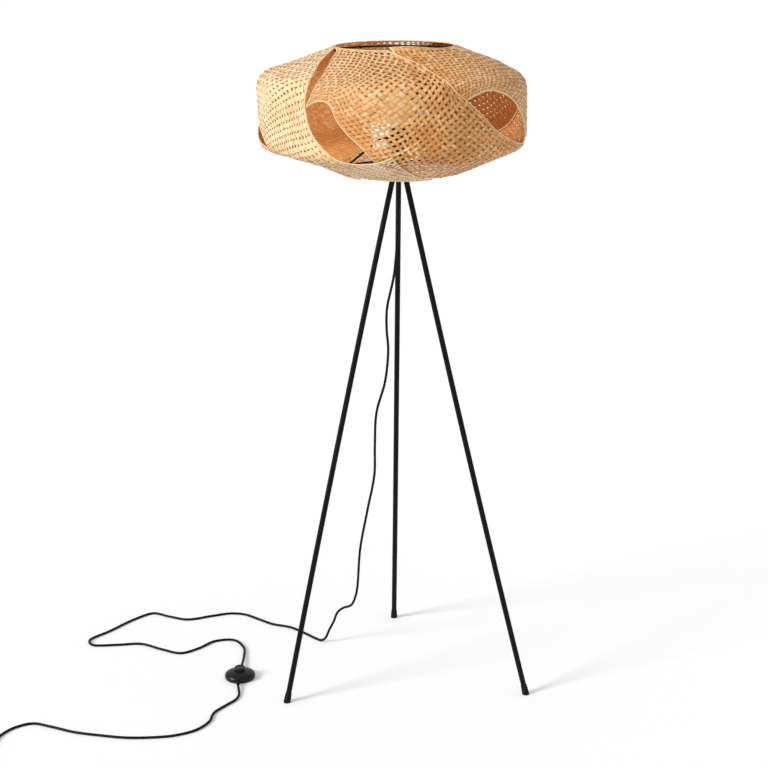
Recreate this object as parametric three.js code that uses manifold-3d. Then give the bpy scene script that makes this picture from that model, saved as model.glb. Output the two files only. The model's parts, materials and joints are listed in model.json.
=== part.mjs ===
// Floor lamp: a lantern of five woven bamboo ribbons on three straight steel legs.
// Millimetres, +Z up, floor at Z = 0, the front of the lamp faces -Y.

import * as THREE from 'three';
import { mergeVertices } from 'three/addons/utils/BufferGeometryUtils.js';
import Module from 'manifold-3d';

const wasm = await Module();
wasm.setup();

// Clearances
const gap = 0.3;  // air between pieces that touch
const overrun = 2;  // how far a cutting shape passes the face that it cuts

// Tripod
const legSides = ['back', 'left', 'right'];
const footReach = 320;  // radius of the circle of feet on the floor
const legTopHeight = 1215;  // underside of the hub
const legApexRise = 49;  // from there up to where the three leg axes would meet
const backLegTurn = 93.75;  // degrees from +X to the back leg
const legDiameter = 12.5;
const legWall = 1.2;
const footCapDiameter = 16.4;
const footCapLength = 23;
const footCapFloor = 3;  // rubber under the tube's lowest edge

// Hub and studs
const hubDiameter = 42;
const hubHeight = 26;
const hubEdge = 3;
const studDiameter = 6;
const studInHub = 10;
const studInLeg = 16;
const insertLength = 20;
const cordBoreDiameter = 8.4;

// Lantern, which the hub carries, with heights measured from the hub's underside
const rimRadius = 132;  // top edge of the ribbons
const rimRise = 275;
const shoulderRadius = 296;
const upperShoulderRise = 213;
const lowerShoulderRise = 61;
const lowerRimRadius = 131;
const lowerRimDrop = 2;
const upperShoulderEaseLength = 30;  // how far the rounding runs along each side of the upper corner
const lowerShoulderEaseLength = 22;
const topOffset = -8;  // the hand-made lantern leans a little off the axis
const bodyOffset = -14;
const ribbonThickness = 2;
const ribbonLayerHeight = 5;  // how far the outer ribbon stands over the inner one
const ringWireDiameter = 4;

// Lamp holder and bulb
const nippleDiameter = 10;
const nippleBoreDiameter = 7;
const nippleInHub = 12;
const nutFlatsWidth = 17;
const nutHeight = 6;
const holderDiameter = 40;
const holderWall = 2.2;
const holderCupHeight = 30;
const sleeveDiameter = 38;
const sleeveWall = 1.8;
const sleeveHeight = 34;
const shadeRingDiameter = 56;
const shadeRingHeight = 5;
const shadeRingSeat = 8;  // height of the lower shade ring's top over the sleeve's foot
const galleryThickness = 2;
const galleryLip = 6;  // how far the gallery stands out past the shade rings
const armWireDiameter = 5;
const insulatorHeight = 10;
const contactDiameter = 9;
const contactHeight = 4;
const bulbCapDiameter = 26.5;
const bulbCapHeight = 24;
const bulbTipHeight = 3;
const bulbDiameter = 60;
const bulbGlassHeight = 82;

// Cord and its strain reliefs
const cordDiameter = 6;
const cordLift = 3.2;  // height of a cord's axis that lies on the floor
const reliefLength = 24;
const reliefDiameter = 9.6;
const reliefTipDiameter = 7;
const reliefSpigot = 8;
const cordSides = 8;
const dropSteps = 58;
const runSteps = 20;

// Foot switch
const switchX = -390;
const switchY = -43;
const switchDiameter = 73;
const switchRimHeight = 9;
const switchDomeHeight = 19.5;
const switchWall = 2;
const switchBaseThickness = 2.4;
const switchCordHeight = 7.5;
const switchReliefLength = 20;
const buttonDiameter = 25;
const buttonTopHeight = 27;
const buttonTravel = 3;
const buttonFlangeWidth = 1.6;
const buttonFlangeHeight = 1.8;
const buttonStemDiameter = 8;
const mechanismLength = 26;
const mechanismWidth = 18;
const mechanismHeight = 5;
const springWireDiameter = 0.8;
const springDiameter = 13;
const springTurns = 3;
const springSides = 5;
const springStepsPerTurn = 8;
const switchScrewDiameter = 3;
const switchScrewLength = 7;
const switchScrewCircle = 46;
const switchBossWall = 1.4;

// Coil of the spare cord and its plug
const coilX = -953;
const coilY = -402;
const coilMiddleDiameter = 66;
const coilTurns = 3.45;
const coilStartTurn = -17.5;  // degrees from +X where the cord joins the coil
const coilTurnSpacing = 6.5;  // from one turn to the next
const coilSides = 6;
const coilStepsPerTurn = 24;
const coilTail = 44;  // straight cord from the coil to the plug
const tieThickness = 0.8;
const tieWidth = 4;
const tieTurn = 60;  // degrees from +X where the tie holds the coil
const plugLength = 36;
const plugWidth = 35;
const plugThickness = 14;
const plugNose = 5;
const plugPinDiameter = 4;
const plugPinLength = 19;
const plugPinSpacing = 19;
const plugReliefLength = 24;

// Roundness of turned pieces
const fineSides = 24;
const plainSides = 16;
const smallSides = 10;
const ringSides = 48;
const wireSides = 6;
const armSteps = 6;
const hexSides = 6;
const tieSides = 8;

// Ribbon outlines: stations of [degrees round the axis, share of the way down the lantern's side].
// Zero degrees is the ribbon's own front, the ribbon runs from its start on the top rim to its end
// on the bottom rim, and each ribbon's end lies over the next ribbon's start.
const regularOutlineShares = {
  upper: [
    [-76, 0], [-42, 0], [-8, 0], [4, 0.065], [11, 0.108], [16, 0.15], [20, 0.225], [24, 0.31], [27, 0.37],
    [32, 0.41], [39.5, 0.475], [47.5, 0.545], [56, 0.59], [65, 0.62], [77, 0.635],
  ],
  lower: [
    [-47, 0.45], [-40.5, 0.407], [-34, 0.382], [-27, 0.372], [-20, 0.39], [-12, 0.425], [-4, 0.48],
    [2, 0.53], [5.5, 0.575], [7, 0.63], [8, 0.7], [10, 0.78], [14, 0.86], [20, 0.92], [28, 0.955],
    [39, 0.975], [48, 1], [80, 1], [112, 1],
  ],
  start: [[-68, 0.06], [-60, 0.14], [-54, 0.24], [-50, 0.33], [-48, 0.39]],
  end: [[79, 0.72], [82, 0.82], [87, 0.9], [95, 0.955], [104, 0.985]],
};
const frontOutlineShares = {
  ...regularOutlineShares,
  lower: [
    [-39.5, 0.455], [-35, 0.417], [-31, 0.403], [-28, 0.403], [-25.3, 0.424], [-23, 0.475], [-18.6, 0.532],
    [-14, 0.575], [-10.4, 0.614], [-7, 0.66], [-4, 0.74], [2, 0.84], [11, 0.91], [24, 0.955],
    [39, 0.973], [48, 1], [80, 1], [112, 1],
  ],
  start: [
    [-59, 0.03], [-48.5, 0.1], [-42, 0.16], [-38, 0.22], [-34.5, 0.29], [-34, 0.355], [-35.5, 0.4],
  ],
};
const leftOutlineShares = {
  ...regularOutlineShares,
  upper: [
    [-76, 0], [-42, 0], [-8, 0], [3, 0.02], [13, 0.08], [19.5, 0.137], [27, 0.211], [33, 0.297],
    [35, 0.355], [34.6, 0.42], [35.6, 0.482], [37.4, 0.532], [40, 0.569], [43.5, 0.605], [48, 0.64],
    [54, 0.667], [61, 0.67], [67, 0.652], [72, 0.63],
  ],
  end: [[74.4, 0.67], [76.8, 0.76], [81, 0.85], [86, 0.915], [94, 0.96], [103, 0.985]],
};
const backRightOutlineShares = {
  ...regularOutlineShares,
  upper: [
    [-76, 0], [-42, 0], [-8, 0], [4, 0.065], [11, 0.108], [16, 0.15], [20, 0.225], [24, 0.31], [27, 0.37],
    [30, 0.44], [33, 0.52], [36, 0.6], [40, 0.68], [46, 0.745], [54, 0.775], [62, 0.76], [70, 0.71], [77, 0.66],
  ],
  lower: [
    [-47, 0.45], [-40.5, 0.5], [-34, 0.56], [-27, 0.61], [-20, 0.65], [-12, 0.68], [-4, 0.705], [2, 0.73],
    [7, 0.77], [12, 0.82], [17, 0.87], [22, 0.92], [30, 0.955], [39, 0.975], [48, 1], [80, 1], [112, 1],
  ],
};
const backLeftOutlineShares = {
  ...regularOutlineShares,
  lower: [
    [-47, 0.45], [-44, 0.5], [-40, 0.56], [-36, 0.6], [-30, 0.62], [-22, 0.625], [-15, 0.65], [-12, 0.7],
    [-10, 0.77], [-6, 0.84], [0, 0.885], [10, 0.92], [24, 0.955], [39, 0.973], [48, 1], [80, 1], [112, 1],
  ],
};
const ribbons = [
  { name: 'ribbon_front', turn: 0, outline: frontOutlineShares },
  { name: 'ribbon_right', turn: 72, outline: regularOutlineShares },
  { name: 'ribbon_back_right', turn: 144, outline: backRightOutlineShares },
  { name: 'ribbon_back_left', turn: 216, outline: backLeftOutlineShares },
  { name: 'ribbon_left', turn: 288, outline: leftOutlineShares },
];

// The weave is a plain grid of openings, each one cell of the ribbon's sheet.
const ribbonOpeningsAlong = 12;
const ribbonOpeningsAcross = 4;
const ribbonPlainCells = 2;  // before the first row of openings and after the last
const ribbonLengthCells = 2 * (ribbonOpeningsAlong + ribbonPlainCells);
const ribbonWidthCells = 2 * (ribbonOpeningsAcross + 1);
const ribbonRiseShares = { upperStart: 0.2, upperRun: 0.12, lowerStart: 0.78, lowerRun: 0.15 };
const tieSeamTurns = { top: -6, bottom: 43 };

// Cord routes, points chosen by hand, measured from the lamp's axis
const dropRoute = [
  [0, 0, 1160], [-12, 14, 980], [-30, 24, 890], [-31, 30, 840], [-28, 36, 790], [-36, 47, 711],
  [-56, 58, 632], [-61, 72, 545], [-66, 84, 470], [-86, 98, 374], [-103, 115, 270], [-115, 139, 137],
  [-137, 146, 102], [-162, 149, 76], [-176, 153, 43], [-194, 166, 19], [-216, 187, 7.5], [-240, 212, 4],
  [-268, 238, cordLift], [-395, 322, cordLift],
  [-446, 341, cordLift], [-500, 326, cordLift], [-555, 304, cordLift], [-606, 324, cordLift],
  [-650, 346, cordLift], [-690, 312, cordLift], [-748, 230, cordLift], [-780, 176, cordLift],
  [-764, 136, cordLift], [-715, 143, cordLift], [-655, 151, cordLift], [-600, 118, cordLift],
  [-548, 94, cordLift], [-508, 122, cordLift], [-470, 166, cordLift], [-425, 172, cordLift],
  [-396, 128, cordLift], [-390, 66, 5],
];
const runRoute = [
  [-388, -135, 5], [-392, -172, cordLift], [-412, -203, cordLift], [-433, -236, cordLift],
  [-440, -282, cordLift], [-466, -324, cordLift], [-512, -350, cordLift], [-566, -359, cordLift],
  [-618, -359, cordLift], [-679, -347, cordLift], [-738, -331, cordLift], [-799, -302, cordLift],
  [-840, -287, cordLift], [-874, -304, cordLift], [-899, -340, cordLift],
];

// Values worked out from the driving dimensions
const legCount = legSides.length;
const legApexHeight = legTopHeight + legApexRise;
const legTilt = Math.atan2(footReach, legApexHeight);
const legRadius = legDiameter / 2;
const legBoreRadius = legRadius - legWall;
const hubTopHeight = legTopHeight + hubHeight;
const rimHeight = legTopHeight + rimRise;
const upperShoulderHeight = legTopHeight + upperShoulderRise;
const lowerShoulderHeight = legTopHeight + lowerShoulderRise;
const lowerRimHeight = legTopHeight - lowerRimDrop;
const nutBaseHeight = hubTopHeight + gap;
const holderBaseHeight = nutBaseHeight + nutHeight + gap;
const sleeveBaseHeight = holderBaseHeight + holderCupHeight + gap;
const shadeRingBaseHeight = sleeveBaseHeight + shadeRingSeat - shadeRingHeight;
const galleryHeight = sleeveBaseHeight + shadeRingSeat + gap;
const sleeveRadius = sleeveDiameter / 2;
const galleryBoreRadius = sleeveRadius + gap;
const insulatorBaseHeight = holderBaseHeight + holderCupHeight - insulatorHeight;
const bulbCapBaseHeight = insulatorBaseHeight + insulatorHeight + contactHeight + 2 * gap;
const bulbGlassBaseHeight = bulbCapBaseHeight + bulbCapHeight + gap;
const cordRadius = cordDiameter / 2;
const reliefEndHeight = legTopHeight - gap - reliefLength;
const coilBaseHeight = tieThickness + gap + cordRadius;
const coilOuterRadius = coilMiddleDiameter / 2 + (coilTurns / 4) * coilTurnSpacing;
const coilInnerRadius = coilMiddleDiameter / 2 - (coilTurns / 4) * coilTurnSpacing;
const plugAxisHeight = plugThickness / 2;

// Looks of the pieces
const looks = {
  bambooLight: [0xdcb884, 0.62, 0],
  bambooDark: [0xc99a66, 0.62, 0],
  blackSteel: [0x17171a, 0.42, 0.5],
  blackRubber: [0x121212, 0.8, 0],
  blackPlastic: [0x151517, 0.35, 0],
  zincSteel: [0xb9bcc0, 0.35, 0.9],
  brass: [0xc9a55a, 0.3, 0.9],
  ceramic: [0xf0ede6, 0.5, 0],
  bulbGlass: [0xf6f4ee, 0.2, 0],
  blackTie: [0x101010, 0.55, 0],
};

// The origin is the middle of the floor box that the lamp itself fills, so the axis stands a little off it.
const lamp = new THREE.Group();
const part = new THREE.Group();
part.add(lamp);

function addPiece(name, geometry, look) {
  const [color, roughness, metalness] = looks[look];
  const mesh = new THREE.Mesh(geometry, new THREE.MeshStandardMaterial({ color, roughness, metalness }));
  mesh.name = name;
  lamp.add(mesh);
  return mesh;
}

// Shape helpers

function toRadians(degrees) {
  return THREE.MathUtils.degToRad(degrees);
}

function onlyPositions(geometry) {
  const bare = geometry.index ? geometry : geometry.clone();
  bare.deleteAttribute('normal');
  bare.deleteAttribute('uv');
  return mergeVertices(bare);
}

function toSolid(geometry) {
  const merged = onlyPositions(geometry);
  const triangles = [];
  const index = merged.index.array;
  for (let i = 0; i < index.length; i += 3) {
    const [a, b, c] = [index[i], index[i + 1], index[i + 2]];
    if (a !== b && b !== c && c !== a) triangles.push(a, b, c);
  }
  return new wasm.Manifold(new wasm.Mesh({
    numProp: 3,
    vertProperties: new Float32Array(merged.attributes.position.array),
    triVerts: new Uint32Array(triangles),
  }));
}

function fromSolid(solid) {
  const mesh = solid.getMesh();
  const geometry = new THREE.BufferGeometry();
  geometry.setAttribute('position', new THREE.BufferAttribute(new Float32Array(mesh.vertProperties), 3));
  geometry.setIndex(new THREE.BufferAttribute(new Uint32Array(mesh.triVerts), 1));
  return geometry;
}

// A turned solid: profile points are [radius, height], and height runs along +Z.
function turned(profile, sides) {
  const points = profile.map(([radius, height]) => new THREE.Vector2(radius, height));
  return new THREE.LatheGeometry(points, sides).rotateX(Math.PI / 2);
}

// A turned tube with square ends between two heights.
function sleeve(outerRadius, innerRadius, low, high, sides) {
  return turned([
    [innerRadius, low],
    [outerRadius, low],
    [outerRadius, high],
    [innerRadius, high],
    [innerRadius, low],
  ], sides);
}

function rod(radius, low, high, sides) {
  return turned([[0, low], [radius, low], [radius, high], [0, high]], sides);
}

function block(lengthX, lengthY, lengthZ, x, y, z) {
  return new THREE.BoxGeometry(lengthX, lengthY, lengthZ).translate(x, y, z);
}

function wireRing(ringRadius, wireRadius, height, sides) {
  return new THREE.TorusGeometry(ringRadius, wireRadius, wireSides, sides).translate(0, 0, height);
}

function circleShape(radius, sides) {
  const shape = new THREE.Shape();
  for (let i = 0; i < sides; i += 1) {
    const angle = (2 * Math.PI * i) / sides;
    const x = radius * Math.cos(angle);
    const y = radius * Math.sin(angle);
    if (i === 0) shape.moveTo(x, y);
    else shape.lineTo(x, y);
  }
  shape.closePath();
  return shape;
}

function tubeAlong(points, radius, sides, steps) {
  const path = new THREE.CatmullRomCurve3(points.map((point) => new THREE.Vector3(...point)));
  return new THREE.ExtrudeGeometry(circleShape(radius, sides), {
    steps,
    extrudePath: path,
    bevelEnabled: false,
  });
}

// Tripod

function legMatrix(number) {
  const turn = toRadians(backLegTurn + (360 / legCount) * number);
  const foot = new THREE.Vector3(footReach * Math.cos(turn), footReach * Math.sin(turn), 0);
  const apex = new THREE.Vector3(0, 0, legApexHeight);
  const upward = apex.clone().sub(foot).normalize();
  const turned3 = new THREE.Quaternion().setFromUnitVectors(new THREE.Vector3(0, 0, 1), upward);
  return new THREE.Matrix4().compose(foot, turned3, new THREE.Vector3(1, 1, 1));
}

const alongLeg = (height) => height / Math.cos(legTilt);
const squareEndRise = legRadius * Math.sin(legTilt);
const legLow = alongLeg(footCapFloor + squareEndRise);
const legHigh = alongLeg(legTopHeight - gap - squareEndRise);

function legTube() {
  return sleeve(legRadius, legBoreRadius, legLow, legHigh, plainSides);
}

function footCap(matrix) {
  const outer = footCapDiameter / 2;
  const inner = legRadius + gap;
  const bevel = (outer - inner) / 2;
  const low = -outer;
  const high = alongLeg(footCapLength);
  const cup = turned([
    [0, low],
    [outer, low],
    [outer, high - bevel],
    [outer - bevel, high],
    [inner, high],
    [inner, legLow - gap],
    [0, legLow - gap],
  ], plainSides);
  const reach = 4 * footCapDiameter;
  const underFloor = block(reach, reach, reach, 0, 0, -reach / 2);
  underFloor.translate(matrix.elements[12], matrix.elements[13], 0);
  underFloor.applyMatrix4(matrix.clone().invert());
  return fromSolid(toSolid(cup).subtract(toSolid(underFloor)));
}

const studLow = legHigh - studInLeg;
const studHigh = alongLeg(legTopHeight + studInHub);
const studRadius = studDiameter / 2;

function legInsert() {
  const high = legHigh - gap;
  return sleeve(legBoreRadius - gap, studRadius + gap, high - insertLength, high, smallSides);
}

function legStud() {
  return rod(studRadius, studLow, studHigh, smallSides);
}

function addLegs() {
  legSides.forEach((side, number) => {
    const matrix = legMatrix(number);
    addPiece(`leg_${side}`, legTube(), 'blackSteel').applyMatrix4(matrix);
    addPiece(`foot_cap_${side}`, footCap(matrix), 'blackRubber').applyMatrix4(matrix);
    addPiece(`leg_stud_${side}`, legStud(), 'zincSteel').applyMatrix4(matrix);
    addPiece(`leg_insert_${side}`, legInsert(), 'zincSteel').applyMatrix4(matrix);
  });
}

function hub() {
  const outer = hubDiameter / 2;
  const boreStep = hubHeight - nippleInHub - gap;
  let body = toSolid(turned([
    [cordBoreDiameter / 2, 0],
    [outer - hubEdge, 0],
    [outer, hubEdge],
    [outer, hubHeight - hubEdge],
    [outer - hubEdge, hubHeight],
    [nippleDiameter / 2 + gap, hubHeight],
    [nippleDiameter / 2 + gap, boreStep],
    [cordBoreDiameter / 2, boreStep],
    [cordBoreDiameter / 2, 0],
  ], fineSides).translate(0, 0, legTopHeight));
  for (let number = 0; number < legCount; number += 1) {
    const hole = rod(studRadius + gap, studLow, studHigh + gap, smallSides).applyMatrix4(legMatrix(number));
    body = body.subtract(toSolid(hole));
  }
  return fromSolid(body);
}

function addHub() {
  addPiece('leg_hub', hub(), 'blackSteel');
}

// Lamp holder

function hexNut() {
  const shape = circleShape(nutFlatsWidth / 2 / Math.cos(Math.PI / hexSides), hexSides);
  const hole = new THREE.Path(circleShape(nippleDiameter / 2 + gap, plainSides).getPoints().reverse());
  shape.holes.push(hole);
  const nut = new THREE.ExtrudeGeometry(shape, { depth: nutHeight, bevelEnabled: false });
  return nut.translate(0, 0, nutBaseHeight);
}

function holderCup() {
  const outer = holderDiameter / 2;
  const neck = nutFlatsWidth / 2;
  const shoulder = holderCupHeight / 3;
  return turned([
    [nippleDiameter / 2 + gap, 0],
    [neck, 0],
    [outer, shoulder],
    [outer, holderCupHeight],
    [outer - holderWall, holderCupHeight],
    [outer - holderWall, shoulder + holderWall],
    [neck, holderWall],
    [nippleDiameter / 2 + gap, holderWall],
    [nippleDiameter / 2 + gap, 0],
  ], fineSides).translate(0, 0, holderBaseHeight);
}

function threadedSleeve() {
  const inner = sleeveRadius - sleeveWall;
  const lip = bulbCapDiameter / 2 + sleeveWall;
  return turned([
    [inner, 0],
    [sleeveRadius, 0],
    [sleeveRadius, sleeveHeight - sleeveWall],
    [sleeveRadius - sleeveWall, sleeveHeight],
    [lip, sleeveHeight],
    [lip, sleeveHeight - sleeveWall],
    [inner, sleeveHeight - 2 * sleeveWall],
    [inner, 0],
  ], fineSides).translate(0, 0, sleeveBaseHeight);
}

function shadeRing(height) {
  const outer = shadeRingDiameter / 2;
  const inner = sleeveRadius + gap;
  const chamfer = shadeRingHeight / 3;
  return turned([
    [inner, 0],
    [outer - chamfer, 0],
    [outer, chamfer],
    [outer, shadeRingHeight - chamfer],
    [outer - chamfer, shadeRingHeight],
    [inner, shadeRingHeight],
    [inner, 0],
  ], fineSides).translate(0, 0, height);
}

function addHolder() {
  const nippleBase = hubTopHeight - nippleInHub;
  const nippleTop = holderBaseHeight + 2 * holderWall;
  const nipple = sleeve(nippleDiameter / 2, nippleBoreDiameter / 2, nippleBase, nippleTop, plainSides);
  addPiece('nipple', nipple, 'zincSteel');
  addPiece('nipple_nut', hexNut(), 'zincSteel');
  addPiece('holder_cup', holderCup(), 'blackPlastic');
  addPiece('holder_sleeve', threadedSleeve(), 'blackPlastic');
  addPiece('shade_ring_lower', shadeRing(shadeRingBaseHeight), 'blackPlastic');
  addPiece('shade_ring_upper', shadeRing(galleryHeight + galleryThickness + gap), 'blackPlastic');
  const insulatorRadius = holderDiameter / 2 - holderWall - gap;
  const insulatorTop = insulatorBaseHeight + insulatorHeight;
  const insulator = rod(insulatorRadius, insulatorBaseHeight, insulatorTop, plainSides);
  addPiece('holder_insulator', insulator, 'ceramic');
  const contactBase = insulatorTop + gap;
  const contactTop = contactBase + contactHeight;
  addPiece('centre_contact', rod(contactDiameter / 2, contactBase, contactTop, smallSides), 'brass');
}

function bulbGlass() {
  const neck = bulbCapDiameter / 2 - gap;
  const wide = bulbDiameter / 2;
  const centre = bulbGlassHeight - wide;
  const shape = [[0, 0], [neck, 0], [neck, bulbGlassHeight / 12]];
  const flare = 4;
  const meet = Math.PI / 5;
  const meetRadius = wide * Math.cos(meet);
  const meetHeight = centre - wide * Math.sin(meet);
  for (let i = 1; i < flare; i += 1) {
    const t = i / flare;
    const blend = t * t * (3 - 2 * t);
    shape.push([
      neck + (meetRadius - neck) * blend,
      bulbGlassHeight / 12 + (meetHeight - bulbGlassHeight / 12) * t,
    ]);
  }
  const arcSteps = 7;
  for (let i = 0; i < arcSteps; i += 1) {
    const angle = -meet + ((Math.PI / 2 + meet) * i) / arcSteps;
    shape.push([wide * Math.cos(angle), centre + wide * Math.sin(angle)]);
  }
  shape.push([0, bulbGlassHeight]);
  return turned(shape, plainSides).translate(0, 0, bulbGlassBaseHeight);
}

function bulbCap() {
  const radius = bulbCapDiameter / 2;
  const tip = contactDiameter / 2;
  const taper = bulbCapHeight / 4;
  return turned([
    [0, 0],
    [tip / 2, 0],
    [tip, bulbTipHeight / 2],
    [tip, bulbTipHeight],
    [radius / 2, bulbTipHeight],
    [radius, taper],
    [radius, bulbCapHeight],
    [0, bulbCapHeight],
  ], plainSides).translate(0, 0, bulbCapBaseHeight);
}

function addBulb() {
  addPiece('bulb_cap', bulbCap(), 'zincSteel');
  addPiece('bulb_glass', bulbGlass(), 'bulbGlass');
}

// Lantern surface

// The side of the lantern as [radius, height], from the top rim to the bottom rim, with eased corners.
function lanternSide() {
  const corners = [
    [rimRadius, rimHeight],
    [shoulderRadius, upperShoulderHeight],
    [shoulderRadius, lowerShoulderHeight],
    [lowerRimRadius, lowerRimHeight],
  ].map(([radius, height]) => new THREE.Vector2(radius, height));
  const eases = [0, upperShoulderEaseLength, lowerShoulderEaseLength, 0];
  const easeSteps = 12;
  const line = [corners[0]];
  for (let i = 1; i < corners.length - 1; i += 1) {
    const before = corners[i - 1].clone().sub(corners[i]).setLength(eases[i]).add(corners[i]);
    const after = corners[i + 1].clone().sub(corners[i]).setLength(eases[i]).add(corners[i]);
    const bend = new THREE.QuadraticBezierCurve(before, corners[i], after);
    line.push(...bend.getPoints(easeSteps));
  }
  line.push(corners[corners.length - 1]);
  return line;
}

const sideLine = lanternSide();
const sideDistances = [0];
for (let i = 1; i < sideLine.length; i += 1) {
  sideDistances.push(sideDistances[i - 1] + sideLine[i].distanceTo(sideLine[i - 1]));
}
const sideLength = sideDistances[sideDistances.length - 1];

function sidePoint(distance) {
  const reach = THREE.MathUtils.clamp(distance, 0, sideLength);
  let i = 1;
  while (i < sideLine.length - 1 && sideDistances[i] < reach) i += 1;
  const t = (reach - sideDistances[i - 1]) / (sideDistances[i] - sideDistances[i - 1]);
  return sideLine[i - 1].clone().lerp(sideLine[i], t);
}

// The outward direction of the side in the radius and height plane, smoothed over the corners.
function sideNormal(distance) {
  const reach = lowerShoulderEaseLength / 4;
  const along = sidePoint(distance + reach).sub(sidePoint(distance - reach)).normalize();
  return new THREE.Vector2(-along.y, along.x);
}

function smooth(value) {
  const t = THREE.MathUtils.clamp(value, 0, 1);
  return t * t * (3 - 2 * t);
}

function sideways(height) {
  if (height >= upperShoulderHeight) {
    const rise = (height - upperShoulderHeight) / (rimHeight - upperShoulderHeight);
    return THREE.MathUtils.lerp(bodyOffset, topOffset, smooth(rise));
  }
  const drop = (lowerShoulderHeight - height) / (lowerShoulderHeight - lowerRimHeight);
  return THREE.MathUtils.lerp(bodyOffset, 0, smooth(drop));
}

// A point over the lantern's surface: degrees round the axis from the front, share of the side, lift outward.
function lanternPoint(turn, share, lift) {
  const distance = share * sideLength;
  const base = sidePoint(distance);
  const normal = sideNormal(distance);
  const radius = base.x + normal.x * lift;
  const angle = toRadians(turn);
  return new THREE.Vector3(
    sideways(base.y) + radius * Math.sin(angle),
    -radius * Math.cos(angle),
    base.y + normal.y * lift,
  );
}

// Woven ribbons

// Walks a line of stations at an even pace: gives [turn, share] for a fraction of the line's length.
function evenWalk(stations) {
  const chart = stations.map(([turn, share]) => (
    new THREE.Vector3(toRadians(turn) * shoulderRadius, share * sideLength, 0)
  ));
  const curve = new THREE.CatmullRomCurve3(chart);
  const samples = 160;
  const places = [];
  const lengths = [0];
  let last = null;
  for (let i = 0; i <= samples; i += 1) {
    const at = curve.getPoint(i / samples);
    const turn = THREE.MathUtils.radToDeg(at.x / shoulderRadius);
    const share = THREE.MathUtils.clamp(at.y / sideLength, 0, 1);
    const point = lanternPoint(turn, share, 0);
    if (last) lengths.push(lengths[i - 1] + point.distanceTo(last));
    places.push([turn, share]);
    last = point;
  }
  return (fraction) => {
    const reach = fraction * lengths[samples];
    let i = 1;
    while (i < samples && lengths[i] < reach) i += 1;
    const t = (reach - lengths[i - 1]) / (lengths[i] - lengths[i - 1]);
    return places[i - 1].map((value, axis) => THREE.MathUtils.lerp(value, places[i][axis], t));
  };
}

// Fills a ribbon's outline: gives [turn, share] for a fraction along and a fraction across.
function ribbonFill(outline) {
  const { upper, lower } = outline;
  const top = evenWalk(upper);
  const low = evenWalk(lower);
  const start = evenWalk([upper[0], ...outline.start, lower[0]]);
  const end = evenWalk([upper[upper.length - 1], ...outline.end, lower[lower.length - 1]]);
  return (u, v) => [0, 1].map((axis) => {
    const edges = (1 - v) * top(u)[axis] + v * low(u)[axis];
    const sides = (1 - u) * start(v)[axis] + u * end(v)[axis];
    const corners = (1 - u) * ((1 - v) * top(0)[axis] + v * low(0)[axis])
      + u * ((1 - v) * top(1)[axis] + v * low(1)[axis]);
    return edges + sides - corners;
  });
}

// The end of a ribbon stands over the next one, its start lies under the one before.
function ribbonLift(u, v) {
  const rise = ribbonRiseShares;
  const start = THREE.MathUtils.lerp(rise.upperStart, rise.lowerStart, v);
  const run = THREE.MathUtils.lerp(rise.upperRun, rise.lowerRun, v);
  return ribbonLayerHeight * smooth((u - start) / run);
}

// Openings alternate with bars, counted across the ribbon from both of its edges.
function isOpening(i, j) {
  const along = i - ribbonPlainCells;
  const across = Math.min(j, ribbonWidthCells - 1 - j);
  return along >= 0 && along < 2 * ribbonOpeningsAlong && along % 2 === 0 && across % 2 === 1;
}

function ribbonSolid({ turn, outline }) {
  const fill = ribbonFill(outline);
  const columns = ribbonLengthCells + 1;
  const rows = ribbonWidthCells + 1;
  const half = ribbonThickness / 2;
  const positions = [];
  for (const face of [half, -half]) {
    for (let i = 0; i < columns; i += 1) {
      for (let j = 0; j < rows; j += 1) {
        const u = i / ribbonLengthCells;
        const v = j / ribbonWidthCells;
        const [ownTurn, share] = fill(u, v);
        const at = lanternPoint(ownTurn + turn, THREE.MathUtils.clamp(share, 0, 1), ribbonLift(u, v) + face);
        positions.push(at.x, at.y, at.z);
      }
    }
  }
  const under = columns * rows;
  const vertex = (i, j) => i * rows + j;
  const triangles = [];
  const quad = (a, b, c, d) => triangles.push(a, b, c, a, c, d);
  for (let i = 0; i < ribbonLengthCells; i += 1) {
    for (let j = 0; j < ribbonWidthCells; j += 1) {
      const cell = [vertex(i, j), vertex(i, j + 1), vertex(i + 1, j + 1), vertex(i + 1, j)];
      const [a, b, c, d] = cell;
      if (isOpening(i, j)) {
        cell.forEach((corner, side) => {
          const next = cell[(side + 1) % cell.length];
          quad(corner, next, next + under, corner + under);
        });
      } else {
        quad(a, b, c, d);
        quad(d + under, c + under, b + under, a + under);
      }
    }
  }
  for (let i = 0; i < ribbonLengthCells; i += 1) {
    const [a, b] = [vertex(i, 0), vertex(i + 1, 0)];
    quad(a, b, b + under, a + under);
    const [c, d] = [vertex(i, ribbonWidthCells), vertex(i + 1, ribbonWidthCells)];
    quad(d, c, c + under, d + under);
  }
  for (let j = 0; j < ribbonWidthCells; j += 1) {
    const [a, b] = [vertex(0, j), vertex(0, j + 1)];
    quad(b, a, a + under, b + under);
    const [c, d] = [vertex(ribbonLengthCells, j), vertex(ribbonLengthCells, j + 1)];
    quad(c, d, d + under, c + under);
  }
  const geometry = new THREE.BufferGeometry();
  geometry.setAttribute('position', new THREE.BufferAttribute(new Float32Array(positions), 3));
  geometry.setIndex(triangles);
  return fromSolid(ties.reduce((weave, tie) => weave.subtract(tieRoom(tie)), toSolid(geometry)));
}

// Rings, fitter frame and ties

const ringSeat = -(ribbonThickness / 2 + gap + ringWireDiameter / 2);

function ringPlace(share) {
  const inward = share < 0.5 ? ringWireDiameter / 2 : -ringWireDiameter / 2;
  const distance = share * sideLength + inward;
  const base = sidePoint(distance);
  const normal = sideNormal(distance);
  return { radius: base.x + normal.x * ringSeat, height: base.y + normal.y * ringSeat };
}

const topRing = ringPlace(0);
const bottomRing = ringPlace(1);

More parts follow.
